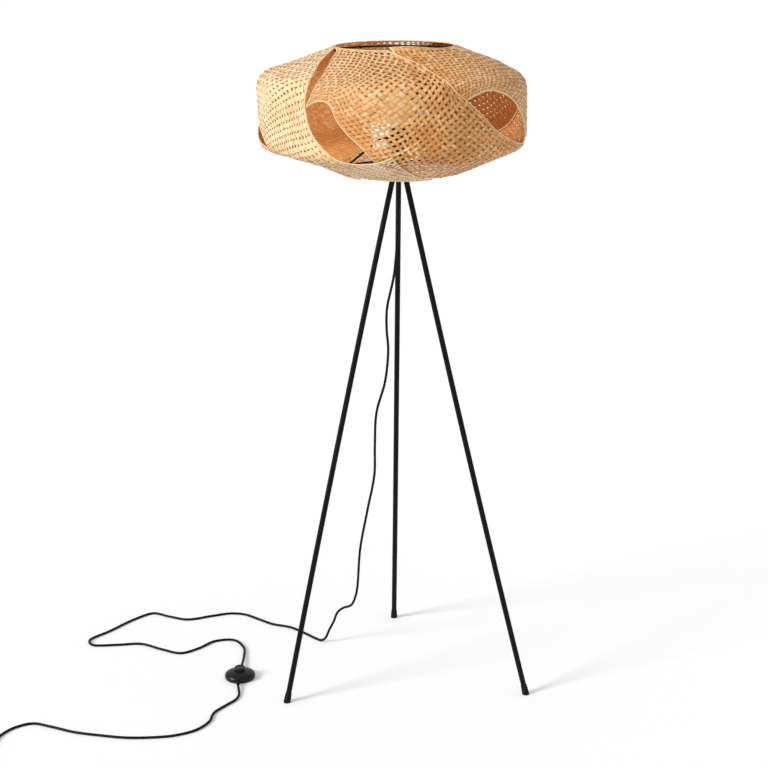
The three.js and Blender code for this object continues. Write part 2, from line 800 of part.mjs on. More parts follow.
function fitterFrame() {
  const galleryOuter = shadeRingDiameter / 2 + galleryLip;
  const galleryMiddle = galleryHeight + galleryThickness / 2;
  let frame = toSolid(wireRing(bottomRing.radius, ringWireDiameter / 2, bottomRing.height, ringSides));
  const galleryTop = galleryHeight + galleryThickness;
  frame = frame.add(toSolid(sleeve(galleryOuter, galleryBoreRadius, galleryHeight, galleryTop, fineSides)));
  for (let number = 0; number < legCount; number += 1) {
    const turn = toRadians(backLegTurn + (360 / legCount) * (number + 1 / 2));
    const near = shadeRingDiameter / 2 + gap + armWireDiameter / 2;
    const far = galleryOuter + armWireDiameter;
    const line = [
      [near, galleryMiddle],
      [far, galleryMiddle],
      [(far + bottomRing.radius) / 2, (galleryMiddle + bottomRing.height) / 2],
      [bottomRing.radius, bottomRing.height],
    ].map(([radius, height]) => [radius * Math.cos(turn), radius * Math.sin(turn), height]);
    frame = frame.add(toSolid(tubeAlong(line, armWireDiameter / 2, wireSides, armSteps)));
  }
  return fromSolid(frame);
}

// A tie sits at each seam between two ribbons, on the top ring and on the bottom ring.
const tieRings = [
  { place: 'top', ring: topRing, ringX: topOffset, seamTurn: tieSeamTurns.top, tailSign: 1 },
  { place: 'bottom', ring: bottomRing, ringX: 0, seamTurn: tieSeamTurns.bottom, tailSign: -1 },
];
const ties = tieRings.flatMap((tieRing) => ribbons.map(({ turn }, number) => (
  { ...tieRing, name: `${tieRing.place}_tie_${number + 1}`, turn: turn + tieRing.seamTurn }
)));

function placeTie({ ring, ringX, turn, tailSign }) {
  const angle = toRadians(turn);
  const along = new THREE.Vector3(Math.cos(angle), Math.sin(angle), 0);
  const upward = new THREE.Vector3(0, 0, tailSign);
  const across = new THREE.Vector3().crossVectors(upward, along);
  const place = new THREE.Matrix4().makeBasis(across, upward, along);
  return place.setPosition(ringX + ring.radius * Math.sin(angle), -ring.radius * Math.cos(angle), ring.height);
}

const tieBoreRadius = ringWireDiameter / 2 + gap;
const tieBandRadius = tieBoreRadius + tieThickness;

// A band round a ring's wire, with a short tail that points away from the lantern.
function ringTie(tie) {
  const band = toSolid(sleeve(tieBandRadius, tieBoreRadius, -tieWidth / 2, tieWidth / 2, tieSides));
  const tailLength = 2 * ringWireDiameter;
  const tailMiddle = tieBandRadius + (tailLength - tieThickness) / 2;
  const tail = toSolid(block(tieThickness, tailLength, tieWidth / 2, 0, tailMiddle, 0));
  return fromSolid(band.add(tail)).applyMatrix4(placeTie(tie));
}

// The room that a tie needs where it passes through the weave.
function tieRoom(tie) {
  const reach = tieWidth / 2 + gap;
  return toSolid(rod(tieBandRadius + gap, -reach, reach, tieSides).applyMatrix4(placeTie(tie)));
}

function addShade() {
  ribbons.forEach((ribbon, number) => {
    const look = number % 2 ? 'bambooDark' : 'bambooLight';
    addPiece(ribbon.name, ribbonSolid(ribbon), look);
  });
  const ring = wireRing(topRing.radius, ringWireDiameter / 2, topRing.height, ringSides);
  addPiece('top_ring', ring.translate(topOffset, 0, 0), 'blackSteel');
  addPiece('fitter_frame', fitterFrame(), 'blackSteel');
  ties.forEach((tie) => addPiece(tie.name, ringTie(tie), 'blackTie'));
}

// Cord

function taperedRelief(length, endRadius, spigotRadius, spigotLength) {
  const body = reliefDiameter / 2;
  return turned([
    [0, -spigotLength],
    [spigotRadius, -spigotLength],
    [spigotRadius, 0],
    [body, 0],
    [body, length / 6],
    [endRadius, length],
    [0, length],
  ], plainSides);
}

function addCordTop() {
  const relief = taperedRelief(reliefLength, reliefTipDiameter / 2, cordBoreDiameter / 2 - gap, reliefSpigot);
  addPiece('cord_relief', relief, 'blackRubber').applyMatrix4(new THREE.Matrix4().makeRotationX(Math.PI));
  lamp.getObjectByName('cord_relief').position.z = legTopHeight - gap;
  const innerLow = legTopHeight + reliefSpigot;
  const innerHigh = insulatorBaseHeight - gap;
  addPiece('cord_inner', rod(cordRadius, innerLow, innerHigh, smallSides), 'blackPlastic');
}

const switchRadius = switchDiameter / 2;
const reliefReach = switchRadius + switchReliefLength;
const dropStart = [0, 0, reliefEndHeight - gap];
const dropEnd = [switchX, switchY + reliefReach + gap, switchCordHeight];
const runStart = [switchX, switchY - reliefReach - gap, switchCordHeight];

function coilPoint(fraction) {
  const turnsIn = fraction * coilTurns;
  const half = coilTurns / 2;
  const spread = coilOuterRadius - coilInnerRadius;
  const inward = 1 - Math.abs(turnsIn - half) / half;
  const radius = coilOuterRadius - spread * inward;
  const climb = smooth((turnsIn - half + 1 / 4) * 2);
  const angle = toRadians(coilStartTurn) - 2 * Math.PI * turnsIn;
  return new THREE.Vector3(
    coilX + radius * Math.cos(angle),
    coilY + radius * Math.sin(angle),
    coilBaseHeight + coilTurnSpacing * climb,
  );
}

function coilHeading(fraction, sign) {
  const small = 1 / 1000;
  const other = coilPoint(fraction + sign * small);
  return other.sub(coilPoint(fraction)).setZ(0).normalize();
}

const coilEntry = coilPoint(0).add(coilHeading(0, 1).multiplyScalar(-cordDiameter));
const coilExit = coilPoint(1).add(coilHeading(1, -1).multiplyScalar(-coilTail)).setZ(plugAxisHeight);

function coilPath() {
  const points = [coilEntry];
  const steps = Math.round(coilTurns * coilStepsPerTurn);
  for (let i = 0; i <= steps; i += 1) points.push(coilPoint(i / steps));
  const away = coilHeading(1, -1).multiplyScalar(-1);
  const last = coilPoint(1);
  const tailSteps = 6;
  for (let i = 1; i < tailSteps; i += 1) {
    const t = i / tailSteps;
    const drop = smooth((t - 1 / 3) * 2);
    const height = THREE.MathUtils.lerp(last.z, plugAxisHeight, drop);
    points.push(last.clone().addScaledVector(away, t * coilTail).setZ(height));
  }
  points.push(coilExit);
  return points;
}

// A tube through every point, with its ends square to the path.
function tubeThrough(points, radius, sides) {
  const positions = [];
  const triangles = [];
  points.forEach((point, i) => {
    const before = points[Math.max(i - 1, 0)];
    const after = points[Math.min(i + 1, points.length - 1)];
    const along = after.clone().sub(before).normalize();
    const across = new THREE.Vector3(0, 0, 1).cross(along).normalize();
    const over = along.clone().cross(across);
    for (let side = 0; side < sides; side += 1) {
      const angle = (2 * Math.PI * (side + 1 / 2)) / sides;
      const at = point.clone()
        .addScaledVector(across, radius * Math.cos(angle))
        .addScaledVector(over, radius * Math.sin(angle));
      positions.push(at.x, at.y, at.z);
    }
  });
  for (let i = 0; i < points.length - 1; i += 1) {
    for (let side = 0; side < sides; side += 1) {
      const next = (side + 1) % sides;
      const [a, b] = [i * sides + side, i * sides + next];
      triangles.push(a, b, b + sides, a, b + sides, a + sides);
    }
  }
  const last = (points.length - 1) * sides;
  for (let side = 1; side < sides - 1; side += 1) {
    triangles.push(0, side + 1, side);
    triangles.push(last, last + side, last + side + 1);
  }
  const geometry = new THREE.BufferGeometry();
  geometry.setAttribute('position', new THREE.BufferAttribute(new Float32Array(positions), 3));
  geometry.setIndex(triangles);
  return geometry;
}

function leastSelfGap(points, diameter, skip) {
  let least = Infinity;
  for (let i = 0; i < points.length; i += 1) {
    for (let j = i + skip; j < points.length; j += 1) {
      least = Math.min(least, points[i].distanceTo(points[j]) - diameter);
    }
  }
  return least;
}

// A closed loop round the bundle of turns, cut from a flat strip.
function coilTie() {
  const low = gap / 2;
  const high = coilBaseHeight + coilTurnSpacing + cordRadius + gap;
  const inside = coilInnerRadius - cordRadius - gap;
  const outside = coilOuterRadius + cordRadius + gap;
  const shape = new THREE.Shape();
  shape.moveTo(inside - tieThickness, low);
  shape.lineTo(outside + tieThickness, low);
  shape.lineTo(outside + tieThickness, high + tieThickness);
  shape.lineTo(inside - tieThickness, high + tieThickness);
  shape.closePath();
  const hole = new THREE.Path();
  hole.moveTo(inside, tieThickness);
  hole.lineTo(inside, high);
  hole.lineTo(outside, high);
  hole.lineTo(outside, tieThickness);
  hole.closePath();
  shape.holes.push(hole);
  const strip = new THREE.ExtrudeGeometry(shape, { depth: tieWidth, bevelEnabled: false });
  strip.translate(0, 0, -tieWidth / 2).rotateX(Math.PI / 2);
  return strip.rotateZ(toRadians(tieTurn)).translate(coilX, coilY, 0);
}

function addCords() {
  const drop = tubeAlong([dropStart, ...dropRoute, dropEnd], cordRadius, cordSides, dropSteps);
  addPiece('cord_drop', drop, 'blackPlastic');
  const heading = coilHeading(0, 1);
  const meet = coilEntry.clone().addScaledVector(heading, -gap);
  const lead = meet.clone().addScaledVector(heading, -cordDiameter);
  const run = [runStart, ...runRoute, lead.toArray(), meet.toArray()];
  addPiece('cord_run', tubeAlong(run, cordRadius, cordSides, runSteps), 'blackPlastic');
  const path = coilPath();
  const selfGap = leastSelfGap(path, cordDiameter, coilStepsPerTurn / 2);
  console.log(`least gap of the coil to itself: ${selfGap.toFixed(2)} mm`);
  addPiece('cord_coil', tubeThrough(path, cordRadius, coilSides), 'blackPlastic');
  addPiece('coil_tie', coilTie(), 'blackTie');
}

// Plug, at the end of the coil's straight tail

function plugBody() {
  const half = plugWidth / 2;
  const shape = new THREE.Shape();
  shape.moveTo(-reliefDiameter / 2 - gap, 0);
  shape.lineTo(reliefDiameter / 2 + gap, 0);
  shape.lineTo(half - plugNose, plugLength / 3);
  shape.lineTo(half, plugLength / 2);
  shape.lineTo(half, plugLength);
  shape.lineTo(-half, plugLength);
  shape.lineTo(-half, plugLength / 2);
  shape.lineTo(-half + plugNose, plugLength / 3);
  shape.closePath();
  const bevel = plugThickness / 7;
  return new THREE.ExtrudeGeometry(shape, {
    depth: plugThickness - 2 * bevel,
    bevelEnabled: true,
    bevelThickness: bevel,
    bevelSize: bevel,
    bevelOffset: -bevel,
    bevelSegments: 1,
  }).translate(0, 0, bevel);
}

function addPlug() {
  const away = coilHeading(1, -1).multiplyScalar(-1);
  const angle = Math.atan2(away.y, away.x) - Math.PI / 2;
  const plug = new THREE.Group();
  plug.position.set(coilExit.x, coilExit.y, 0);
  plug.rotation.z = angle;
  lamp.add(plug);
  const reliefBase = gap + plugReliefLength;
  const relief = taperedRelief(plugReliefLength, reliefTipDiameter / 2, 0, 0);
  const place = new THREE.Matrix4().makeRotationX(Math.PI / 2);
  place.setPosition(0, reliefBase, plugAxisHeight);
  const bodyBase = reliefBase + gap;
  const pins = [-1, 1].map((side) => (
    rod(plugPinDiameter / 2, 0, plugPinLength, smallSides)
      .rotateX(-Math.PI / 2)
      .translate((side * plugPinSpacing) / 2, bodyBase + plugLength + gap, plugAxisHeight)
  ));
  const pieces = [
    addPiece('plug_relief', relief.applyMatrix4(place), 'blackRubber'),
    addPiece('plug_body', plugBody().translate(0, bodyBase, 0), 'blackPlastic'),
    addPiece('plug_pin_left', pins[0], 'zincSteel'),
    addPiece('plug_pin_right', pins[1], 'zincSteel'),
  ];
  plug.add(...pieces);
}

// Foot switch

const coverBottom = gap;
const coverTop = switchDomeHeight;
const buttonRadius = buttonDiameter / 2;
const flangeTop = coverTop - switchWall - gap;
const flangeBottom = flangeTop - buttonFlangeHeight;
const mechanismBase = switchBaseThickness + gap;
const stemBottom = mechanismBase + buttonTravel + 3 * gap;
const mechanismTop = mechanismBase + mechanismHeight;

function switchCover() {
  const outer = switchRadius;
  const hole = buttonRadius + gap;
  const rim = hole + switchWall;
  const domeSteps = 4;
  const outside = [];
  const inside = [];
  for (let i = 0; i <= domeSteps; i += 1) {
    const angle = (Math.PI / 2) * (i / domeSteps);
    const share = Math.sin(angle);
    outside.push([
      rim + (outer - rim) * Math.cos(angle),
      switchRimHeight + (coverTop - switchRimHeight) * share,
    ]);
    inside.push([
      rim + (outer - switchWall - rim) * Math.cos(angle),
      switchRimHeight + (coverTop - switchWall - switchRimHeight) * share,
    ]);
  }
  let shell = toSolid(turned([
    [outer - switchWall, coverBottom],
    [outer, coverBottom],
    ...outside,
    [hole, coverTop],
    [hole, coverTop - switchWall],
    ...inside.reverse(),
    [outer - switchWall, coverBottom],
  ], fineSides));
  const passage = rod(reliefDiameter / 2 + gap, -switchDiameter, switchDiameter, smallSides)
    .rotateX(Math.PI / 2)
    .translate(0, 0, switchCordHeight);
  shell = shell.subtract(toSolid(passage));
  const hollow = switchScrewDiameter / 2 + gap;
  for (const side of [-1, 1]) {
    const boss = rod(hollow + switchBossWall, mechanismBase, flangeTop, smallSides);
    const bore = rod(hollow, mechanismBase - overrun, switchScrewLength + gap, smallSides);
    const x = (side * switchScrewCircle) / 2;
    shell = shell.add(toSolid(boss.translate(x, 0, 0))).subtract(toSolid(bore.translate(x, 0, 0)));
  }
  return fromSolid(shell);
}

function switchButton() {
  const edge = buttonFlangeWidth;
  return turned([
    [0, stemBottom],
    [buttonStemDiameter / 2, stemBottom],
    [buttonStemDiameter / 2, flangeBottom],
    [buttonRadius + edge, flangeBottom],
    [buttonRadius + edge, flangeTop],
    [buttonRadius, flangeTop],
    [buttonRadius, buttonTopHeight - edge],
    [buttonRadius - edge, buttonTopHeight - edge / 3],
    [0, buttonTopHeight],
  ], fineSides);
}

function switchMechanism() {
  const body = toSolid(block(
    mechanismWidth,
    mechanismLength,
    mechanismHeight,
    0,
    0,
    mechanismBase + mechanismHeight / 2,
  ));
  const bore = rod(buttonStemDiameter / 2 + gap, mechanismBase + gap, mechanismTop + overrun, plainSides);
  return fromSolid(body.subtract(toSolid(bore)));
}

function switchSpring() {
  const low = mechanismTop + gap + springWireDiameter / 2;
  const high = flangeBottom - gap - springWireDiameter / 2;
  const steps = springTurns * springStepsPerTurn;
  const points = [];
  for (let i = 0; i <= steps; i += 1) {
    const angle = (2 * Math.PI * i) / springStepsPerTurn;
    const height = THREE.MathUtils.lerp(low, high, i / steps);
    const radius = (springDiameter - springWireDiameter) / 2;
    points.push(new THREE.Vector3(radius * Math.cos(angle), radius * Math.sin(angle), height));
  }
  return tubeThrough(points, springWireDiameter / 2, springSides);
}

function addSwitch() {
  const home = new THREE.Group();
  home.position.set(switchX, switchY, 0);
  lamp.add(home);
  const baseRadius = switchRadius - switchWall - gap;
  const screwHoles = [-1, 1].map((side) => (
    rod(switchScrewDiameter / 2 + gap, -overrun, switchScrewLength, smallSides)
      .translate((side * switchScrewCircle) / 2, 0, 0)
  ));
  let base = toSolid(rod(baseRadius, 0, switchBaseThickness, fineSides));
  screwHoles.forEach((hole) => { base = base.subtract(toSolid(hole)); });
  const screws = [-1, 1].map((side) => (
    rod(switchScrewDiameter / 2, gap, switchScrewLength, smallSides)
      .translate((side * switchScrewCircle) / 2, 0, 0)
  ));
  const reliefs = [1, -1].map((side) => (
    taperedRelief(switchReliefLength, reliefTipDiameter / 2, reliefDiameter / 2 - gap, 2 * switchWall)
      .rotateX((-side * Math.PI) / 2)
      .translate(0, side * switchRadius, switchCordHeight)
  ));
  const pieces = [
    addPiece('switch_base', fromSolid(base), 'blackPlastic'),
    addPiece('switch_cover', switchCover(), 'blackPlastic'),
    addPiece('switch_button', switchButton(), 'blackPlastic'),
    addPiece('switch_spring', switchSpring(), 'zincSteel'),
    addPiece('switch_mechanism', switchMechanism(), 'ceramic'),
    addPiece('switch_screw_left', screws[0], 'zincSteel'),
    addPiece('switch_screw_right', screws[1], 'zincSteel'),
    addPiece('switch_relief_in', reliefs[0], 'blackRubber'),
    addPiece('switch_relief_out', reliefs[1], 'blackRubber'),
  ];
  home.add(...pieces);
}

addLegs();
addHub();
addHolder();
addBulb();
addShade();
addCordTop();
addCords();
addPlug();
addSwitch();

// Middle of the floor box of the lamp without its cord
const backReach = footReach * Math.sin(toRadians(backLegTurn)) + footCapDiameter / 2;
const rightTurn = toRadians(backLegTurn + (360 / legCount) * 2);
const rightReach = footReach * Math.cos(rightTurn) + footCapDiameter / 2;
const lanternReach = shoulderRadius + ribbonLayerHeight;
lamp.position.set((lanternReach - bodyOffset - rightReach) / 2, (lanternReach - backReach) / 2, 0);

export default part;
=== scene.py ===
"""Looks of a woven bamboo floor lamp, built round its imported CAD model. Metres, +Z up."""
import json
import math

import bpy
import numpy as np
from mathutils import Matrix, Vector

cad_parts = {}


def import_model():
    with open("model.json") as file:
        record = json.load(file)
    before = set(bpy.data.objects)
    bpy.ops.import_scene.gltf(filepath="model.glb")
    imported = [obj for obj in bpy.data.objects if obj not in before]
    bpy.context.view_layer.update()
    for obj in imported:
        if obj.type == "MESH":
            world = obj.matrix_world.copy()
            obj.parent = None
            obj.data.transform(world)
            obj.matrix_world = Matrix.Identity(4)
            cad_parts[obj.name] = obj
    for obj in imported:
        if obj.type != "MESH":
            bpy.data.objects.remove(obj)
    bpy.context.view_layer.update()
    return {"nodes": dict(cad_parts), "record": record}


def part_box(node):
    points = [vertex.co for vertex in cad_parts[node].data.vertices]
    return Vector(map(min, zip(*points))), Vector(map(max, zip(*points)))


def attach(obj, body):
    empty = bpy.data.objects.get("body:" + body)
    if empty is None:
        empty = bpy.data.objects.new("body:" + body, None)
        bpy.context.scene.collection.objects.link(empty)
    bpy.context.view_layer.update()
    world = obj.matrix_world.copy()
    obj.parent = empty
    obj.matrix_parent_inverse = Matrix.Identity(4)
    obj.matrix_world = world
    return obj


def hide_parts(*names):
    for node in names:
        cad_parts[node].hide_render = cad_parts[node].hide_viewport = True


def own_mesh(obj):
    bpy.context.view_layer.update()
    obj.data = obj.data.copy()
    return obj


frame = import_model()
MM = 0.001

# The lamp's axis on the floor. Lengths below are in millimetres from it, as on the drawing.
hub_low, hub_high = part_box("leg_hub")
AXIS = np.array([(hub_low.x + hub_high.x) / 2, (hub_low.y + hub_high.y) / 2, 0])

# Tripod
FOOT_REACH = 320
LEG_TOP = 1215
LEG_APEX = LEG_TOP + 49
BACK_LEG_TURN = 93.75
LEG_DIAMETER = 12.5
LEG_WALL = 1.2
CAP_DIAMETER = 16.4
CAP_NECK_DIAMETER = 14.2
CAP_LENGTH = 23
CAP_FLOOR = 3
LEG_SHIFT = {"back": 0, "left": -3.3, "right": 2.1}  # where a foot stands, sideways of even thirds
LEG_SAG = {"back": 0.6, "left": -2.8, "right": -4.3}  # how far a leg bends sideways halfway up
GAP = 0.3
LEG_SIDES = 40
LEG_STATIONS = 25  # rings along a leg, so that it can bend
LEG_BEVEL = 0.3
CAP_SOLE = 4  # up to this height of a foot cap nothing goes through the floor
CAP_FLAT = 0.2  # up to this height it lies flat on the floor

# Lantern
RIM_RADIUS = 132
RIM_HEIGHT = 1490
SHOULDER_RADIUS = 296
UPPER_SHOULDER = 1428
LOWER_SHOULDER = 1276
LOWER_RIM_RADIUS = 131
LOWER_RIM_HEIGHT = 1213
UPPER_EASE = 30
LOWER_EASE = 22
TOP_OFFSET = -8
BODY_OFFSET = -14
RIBBON_THICKNESS = 2
LAYER_HEIGHT = 2.6
RING_WIRE = 4
TOP_SAG = 5  # how far the top ring hangs below the ribbons' rims
TOP_TILT = 3  # how far it stands askew, lower at the back
RISE = {"upper_start": 0.2, "upper_run": 0.12, "lower_start": 0.78, "lower_run": 0.15}
TIE_WIDTH = 4
TIE_THICKNESS = 0.8
TIE_EDGE = 0.15

# Weave
ROWS = 20  # strips along a ribbon
COLUMNS = 52  # strips across it
WAVE = 0.6  # half the height that a strip weaves through
STRIP_THICKNESS = 0.45
STRIP_CROWN = 0.16
SHEAR_START = 0.10  # how far a cross strip leans along the ribbon
SHEAR_GROWTH = 0.20
UPPER_SPREAD = 0.42  # how much wider the rows lie near the upper edge of a ribbon's start
START_CROWD = 0.032  # how much closer the columns stand near a ribbon's start
STEPS_PER_CROSSING = 3
FILL_MOST = 0.97  # the widest a strip gets, as a share of the pitch
TIGHT_ASPECT = 0.45  # a tight place's steps across a ribbon against those along it
FIBRE_HALF = 0.005  # half a strip's width to the grain of its look, in metres
BINDING_WIDTH = 1.3
LIP_WIDTH = 1.5
BINDING_HALF_HEIGHT = 1.15

# Cord, switch, coil and plug
CORD_DIAMETER = 6
CORD_LIFT = 3.2
RELIEF_LENGTH = 24
SWITCH_X, SWITCH_Y = -390, -43
SWITCH_DIAMETER = 73
SWITCH_DOME = 19.5
SWITCH_WALL = 2
SWITCH_CORD_HEIGHT = 7.5
SWITCH_RELIEF_LENGTH = 20
BUTTON_DIAMETER = 25
BUTTON_TOP = 29
COIL_X, COIL_Y = -953, -402
COIL_MIDDLE_DIAMETER = 66
COIL_TURNS = 3.45
COIL_START_TURN = -17.5
COIL_SPACING = 6.5
COIL_BASE = TIE_THICKNESS + GAP + CORD_DIAMETER / 2
COIL_TAIL = 44
PLUG_AXIS = 7
DROP_SAMPLES = 520
RUN_SAMPLES = 240
COIL_SAMPLES = 48  # for each turn
TAIL_SAMPLES = 12
HEADING_STEP = 0.001

# Camera, from the lamp's axis
CAMERA_Y = -3945.4
CAMERA_HEIGHT = 1819.9
CAMERA_PITCH = 15.604  # degrees down
CAMERA_YAW = -0.554
CAMERA_ROLL = -0.539
CAMERA_LENS = 82.95
SENSOR = 36


def world(points):
    """Millimetres from the lamp's axis to the frame's metres."""
    return np.asarray(points, float) * MM + AXIS


def smooth(value):
    t = np.clip(value, 0, 1)
    return t * t * (3 - 2 * t)


def unit(vectors):
    """The same directions with length 1."""
    return vectors / np.linalg.norm(vectors, axis=-1, keepdims=True)


def add_object(name, data):
    made = bpy.data.objects.new(name, data)
    bpy.context.scene.collection.objects.link(made)
    return made


def add_camera():
    pitch, yaw, roll = (math.radians(a) for a in (CAMERA_PITCH, CAMERA_YAW, CAMERA_ROLL))
    ahead = Vector((math.sin(yaw) * math.cos(pitch), math.cos(yaw) * math.cos(pitch), -math.sin(pitch)))
    right = Vector((math.cos(yaw), -math.sin(yaw), 0))
    up = right.cross(ahead)
    across = right * math.cos(roll) + up * math.sin(roll)
    over = up * math.cos(roll) - right * math.sin(roll)
    data = bpy.data.cameras.new("camera")
    data.lens = CAMERA_LENS
    data.sensor_width = SENSOR
    data.clip_end = 100
    camera = add_object("camera", data)
    turn = Matrix((across, over, -ahead)).transposed().to_4x4()
    turn.translation = Vector(world([0, CAMERA_Y, CAMERA_HEIGHT]))
    camera.matrix_world = turn
    bpy.context.scene.camera = camera


add_camera()


# Curves

def catmull_rom(points, samples):
    """A centripetal Catmull-Rom curve through the points, at even steps of its parameter."""
    p = np.array(points, float)
    last = len(p) - 1
    line = []
    for step in range(samples + 1):
        at = step / samples * last
        k = min(int(at), last - 1)
        w = at - k
        before = p[k - 1] if k > 0 else 2 * p[0] - p[1]
        after = p[k + 2] if k + 2 <= last else 2 * p[last] - p[last - 1]
        one, two = p[k], p[k + 1]
        d1 = np.sum((one - two) ** 2) ** 0.25
        d0 = np.sum((before - one) ** 2) ** 0.25 or d1
        d2 = np.sum((two - after) ** 2) ** 0.25 or d1
        t1 = ((one - before) / d0 - (two - before) / (d0 + d1) + (two - one) / d1) * d1
        t2 = ((two - one) / d1 - (after - one) / (d1 + d2) + (after - two) / d2) * d1
        bend = -3 * one + 3 * two - 2 * t1 - t2
        twist = 2 * one - 2 * two + t1 + t2
        line.append(one + t1 * w + bend * w * w + twist * w ** 3)
    return np.array(line)


def line_length(line):
    return float(np.linalg.norm(np.diff(line, axis=0), axis=1).sum())


def distances(line):
    """How far along the line each of its points lies."""
    return np.concatenate([[0], np.cumsum(np.linalg.norm(np.diff(line, axis=0), axis=1))])


# Materials

def socket(node, name, value):
    node.inputs[name].default_value = value


class Nodes:
    """Short calls for making and joining the nodes of a tree."""

    def __init__(self, tree):
        self.tree = tree

    def node(self, kind, **values):
        made = self.tree.nodes.new(kind)
        for key, value in values.items():
            setattr(made, key, value)
        return made

    def link(self, source, target):
        self.tree.links.new(source, target)

    def put(self, targets, values):
        """Sets numbers and colours on a node's own sockets, and links anything else to them."""
        for target, value in zip(targets, values):
            if isinstance(value, tuple):
                target.default_value = (*value, 1)
            elif isinstance(value, (int, float)):
                target.default_value = value
            else:
                self.link(value, target)

    def math(self, operation, *values):
        made = self.node("ShaderNodeMath", operation=operation)
        self.put(made.inputs, values)
        return made.outputs[0]

    def span(self, value, low, high, to_low=0.0, to_high=1.0):
        made = self.node("ShaderNodeMapRange")
        self.put(made.inputs, (value, low, high, to_low, to_high))
        return made.outputs["Result"]


class Look(Nodes):
    """A node material with short calls for what every look here needs."""

    def __init__(self, name, color, roughness, metallic=0.0):
        self.material = bpy.data.materials.new(name)
        self.material.use_nodes = True
        super().__init__(self.material.node_tree)
        self.shader = self.tree.nodes["Principled BSDF"]
        socket(self.shader, "Base Color", (*color, 1))
        socket(self.shader, "Roughness", roughness)
        socket(self.shader, "Metallic", metallic)

    def feed(self, name, value):
        self.link(value, self.shader.inputs[name])

    def place(self):
        return self.node("ShaderNodeTexCoord").outputs["Object"]

    def attribute(self, name, output="Fac"):
        return self.node("ShaderNodeAttribute", attribute_name=name).outputs[output]

    def noise(self, vector, scale, detail=2.0, rough=0.5):
        made = self.node("ShaderNodeTexNoise")
        socket(made, "Scale", scale)
        socket(made, "Detail", detail)
        socket(made, "Roughness", rough)
        self.link(vector, made.inputs["Vector"])
        return made.outputs["Fac"]

    def grain(self, fibre, scales, detail, rough=0.5):
        """A noise with a scale of its own along the fibre, across it and from strip to strip."""
        stretched = self.node("ShaderNodeMapping")
        socket(stretched, "Scale", scales)
        self.link(fibre, stretched.inputs["Vector"])
        return self.noise(stretched.outputs["Vector"], 1, detail, rough)

    def mix(self, amount, a, b):
        made = self.node("ShaderNodeMix", data_type="RGBA")
        self.put([made.inputs[index] for index in (0, 6, 7)], (amount, a, b))
        return made.outputs[2]

    def bump(self, height, distance):
        made = self.node("ShaderNodeBump")
        socket(made, "Distance", distance)
        self.link(height, made.inputs["Height"])
        self.link(made.outputs["Normal"], self.shader.inputs["Normal"])


# Tones of bamboo: the skin with its marks, and the flesh inside a strip, with painted shade and painted light
# among them
SKIN_ORANGE, SKIN_ORANGE_LIGHT = (0.74, 0.31, 0.078), (0.92, 0.49, 0.155)
SKIN_PALE, SKIN_PALE_LIGHT = (0.88, 0.665, 0.39), (0.95, 0.775, 0.505)
SKIN_TAN = (0.66, 0.38, 0.14)
SKIN_CREAM = (0.97, 0.80, 0.53)
SKIN_WARM = (0.62, 0.24, 0.045)
SKIN_STREAK = (0.44, 0.19, 0.05)
# Painted shade where a strip dips under a crossing strip
SKIN_PAINTED_DIP_SHADE = (0.42, 0.17, 0.04)
SKIN_EDGE = (0.36, 0.15, 0.035)
SKIN_JOINT = (0.32, 0.15, 0.05)
FLESH_BRIGHT, FLESH_BRIGHT_LIGHT = (0.80, 0.34, 0.09), (0.90, 0.45, 0.15)
# Painted shade: the flesh's colour where a ribbon's inner face lies in shade
FLESH_PAINTED_SHADE, FLESH_PAINTED_SHADE_PALER = (0.25, 0.066, 0.007), (0.36, 0.115, 0.016)
# Painted shade in the weave's hollows, seen from inside
FLESH_PAINTED_RECESS_SHADE = (0.42, 0.12, 0.015)
FLESH_MOTTLE = (0.98, 0.62, 0.24)
# Painted light: the flesh's colour where a ribbon's inner face is lit
FLESH_PAINTED_LIT = (0.93, 0.68, 0.42)
EDGING, EDGING_LIGHT = (0.84, 0.58, 0.30), (0.93, 0.74, 0.46)
EDGING_STREAK = (0.52, 0.30, 0.11)


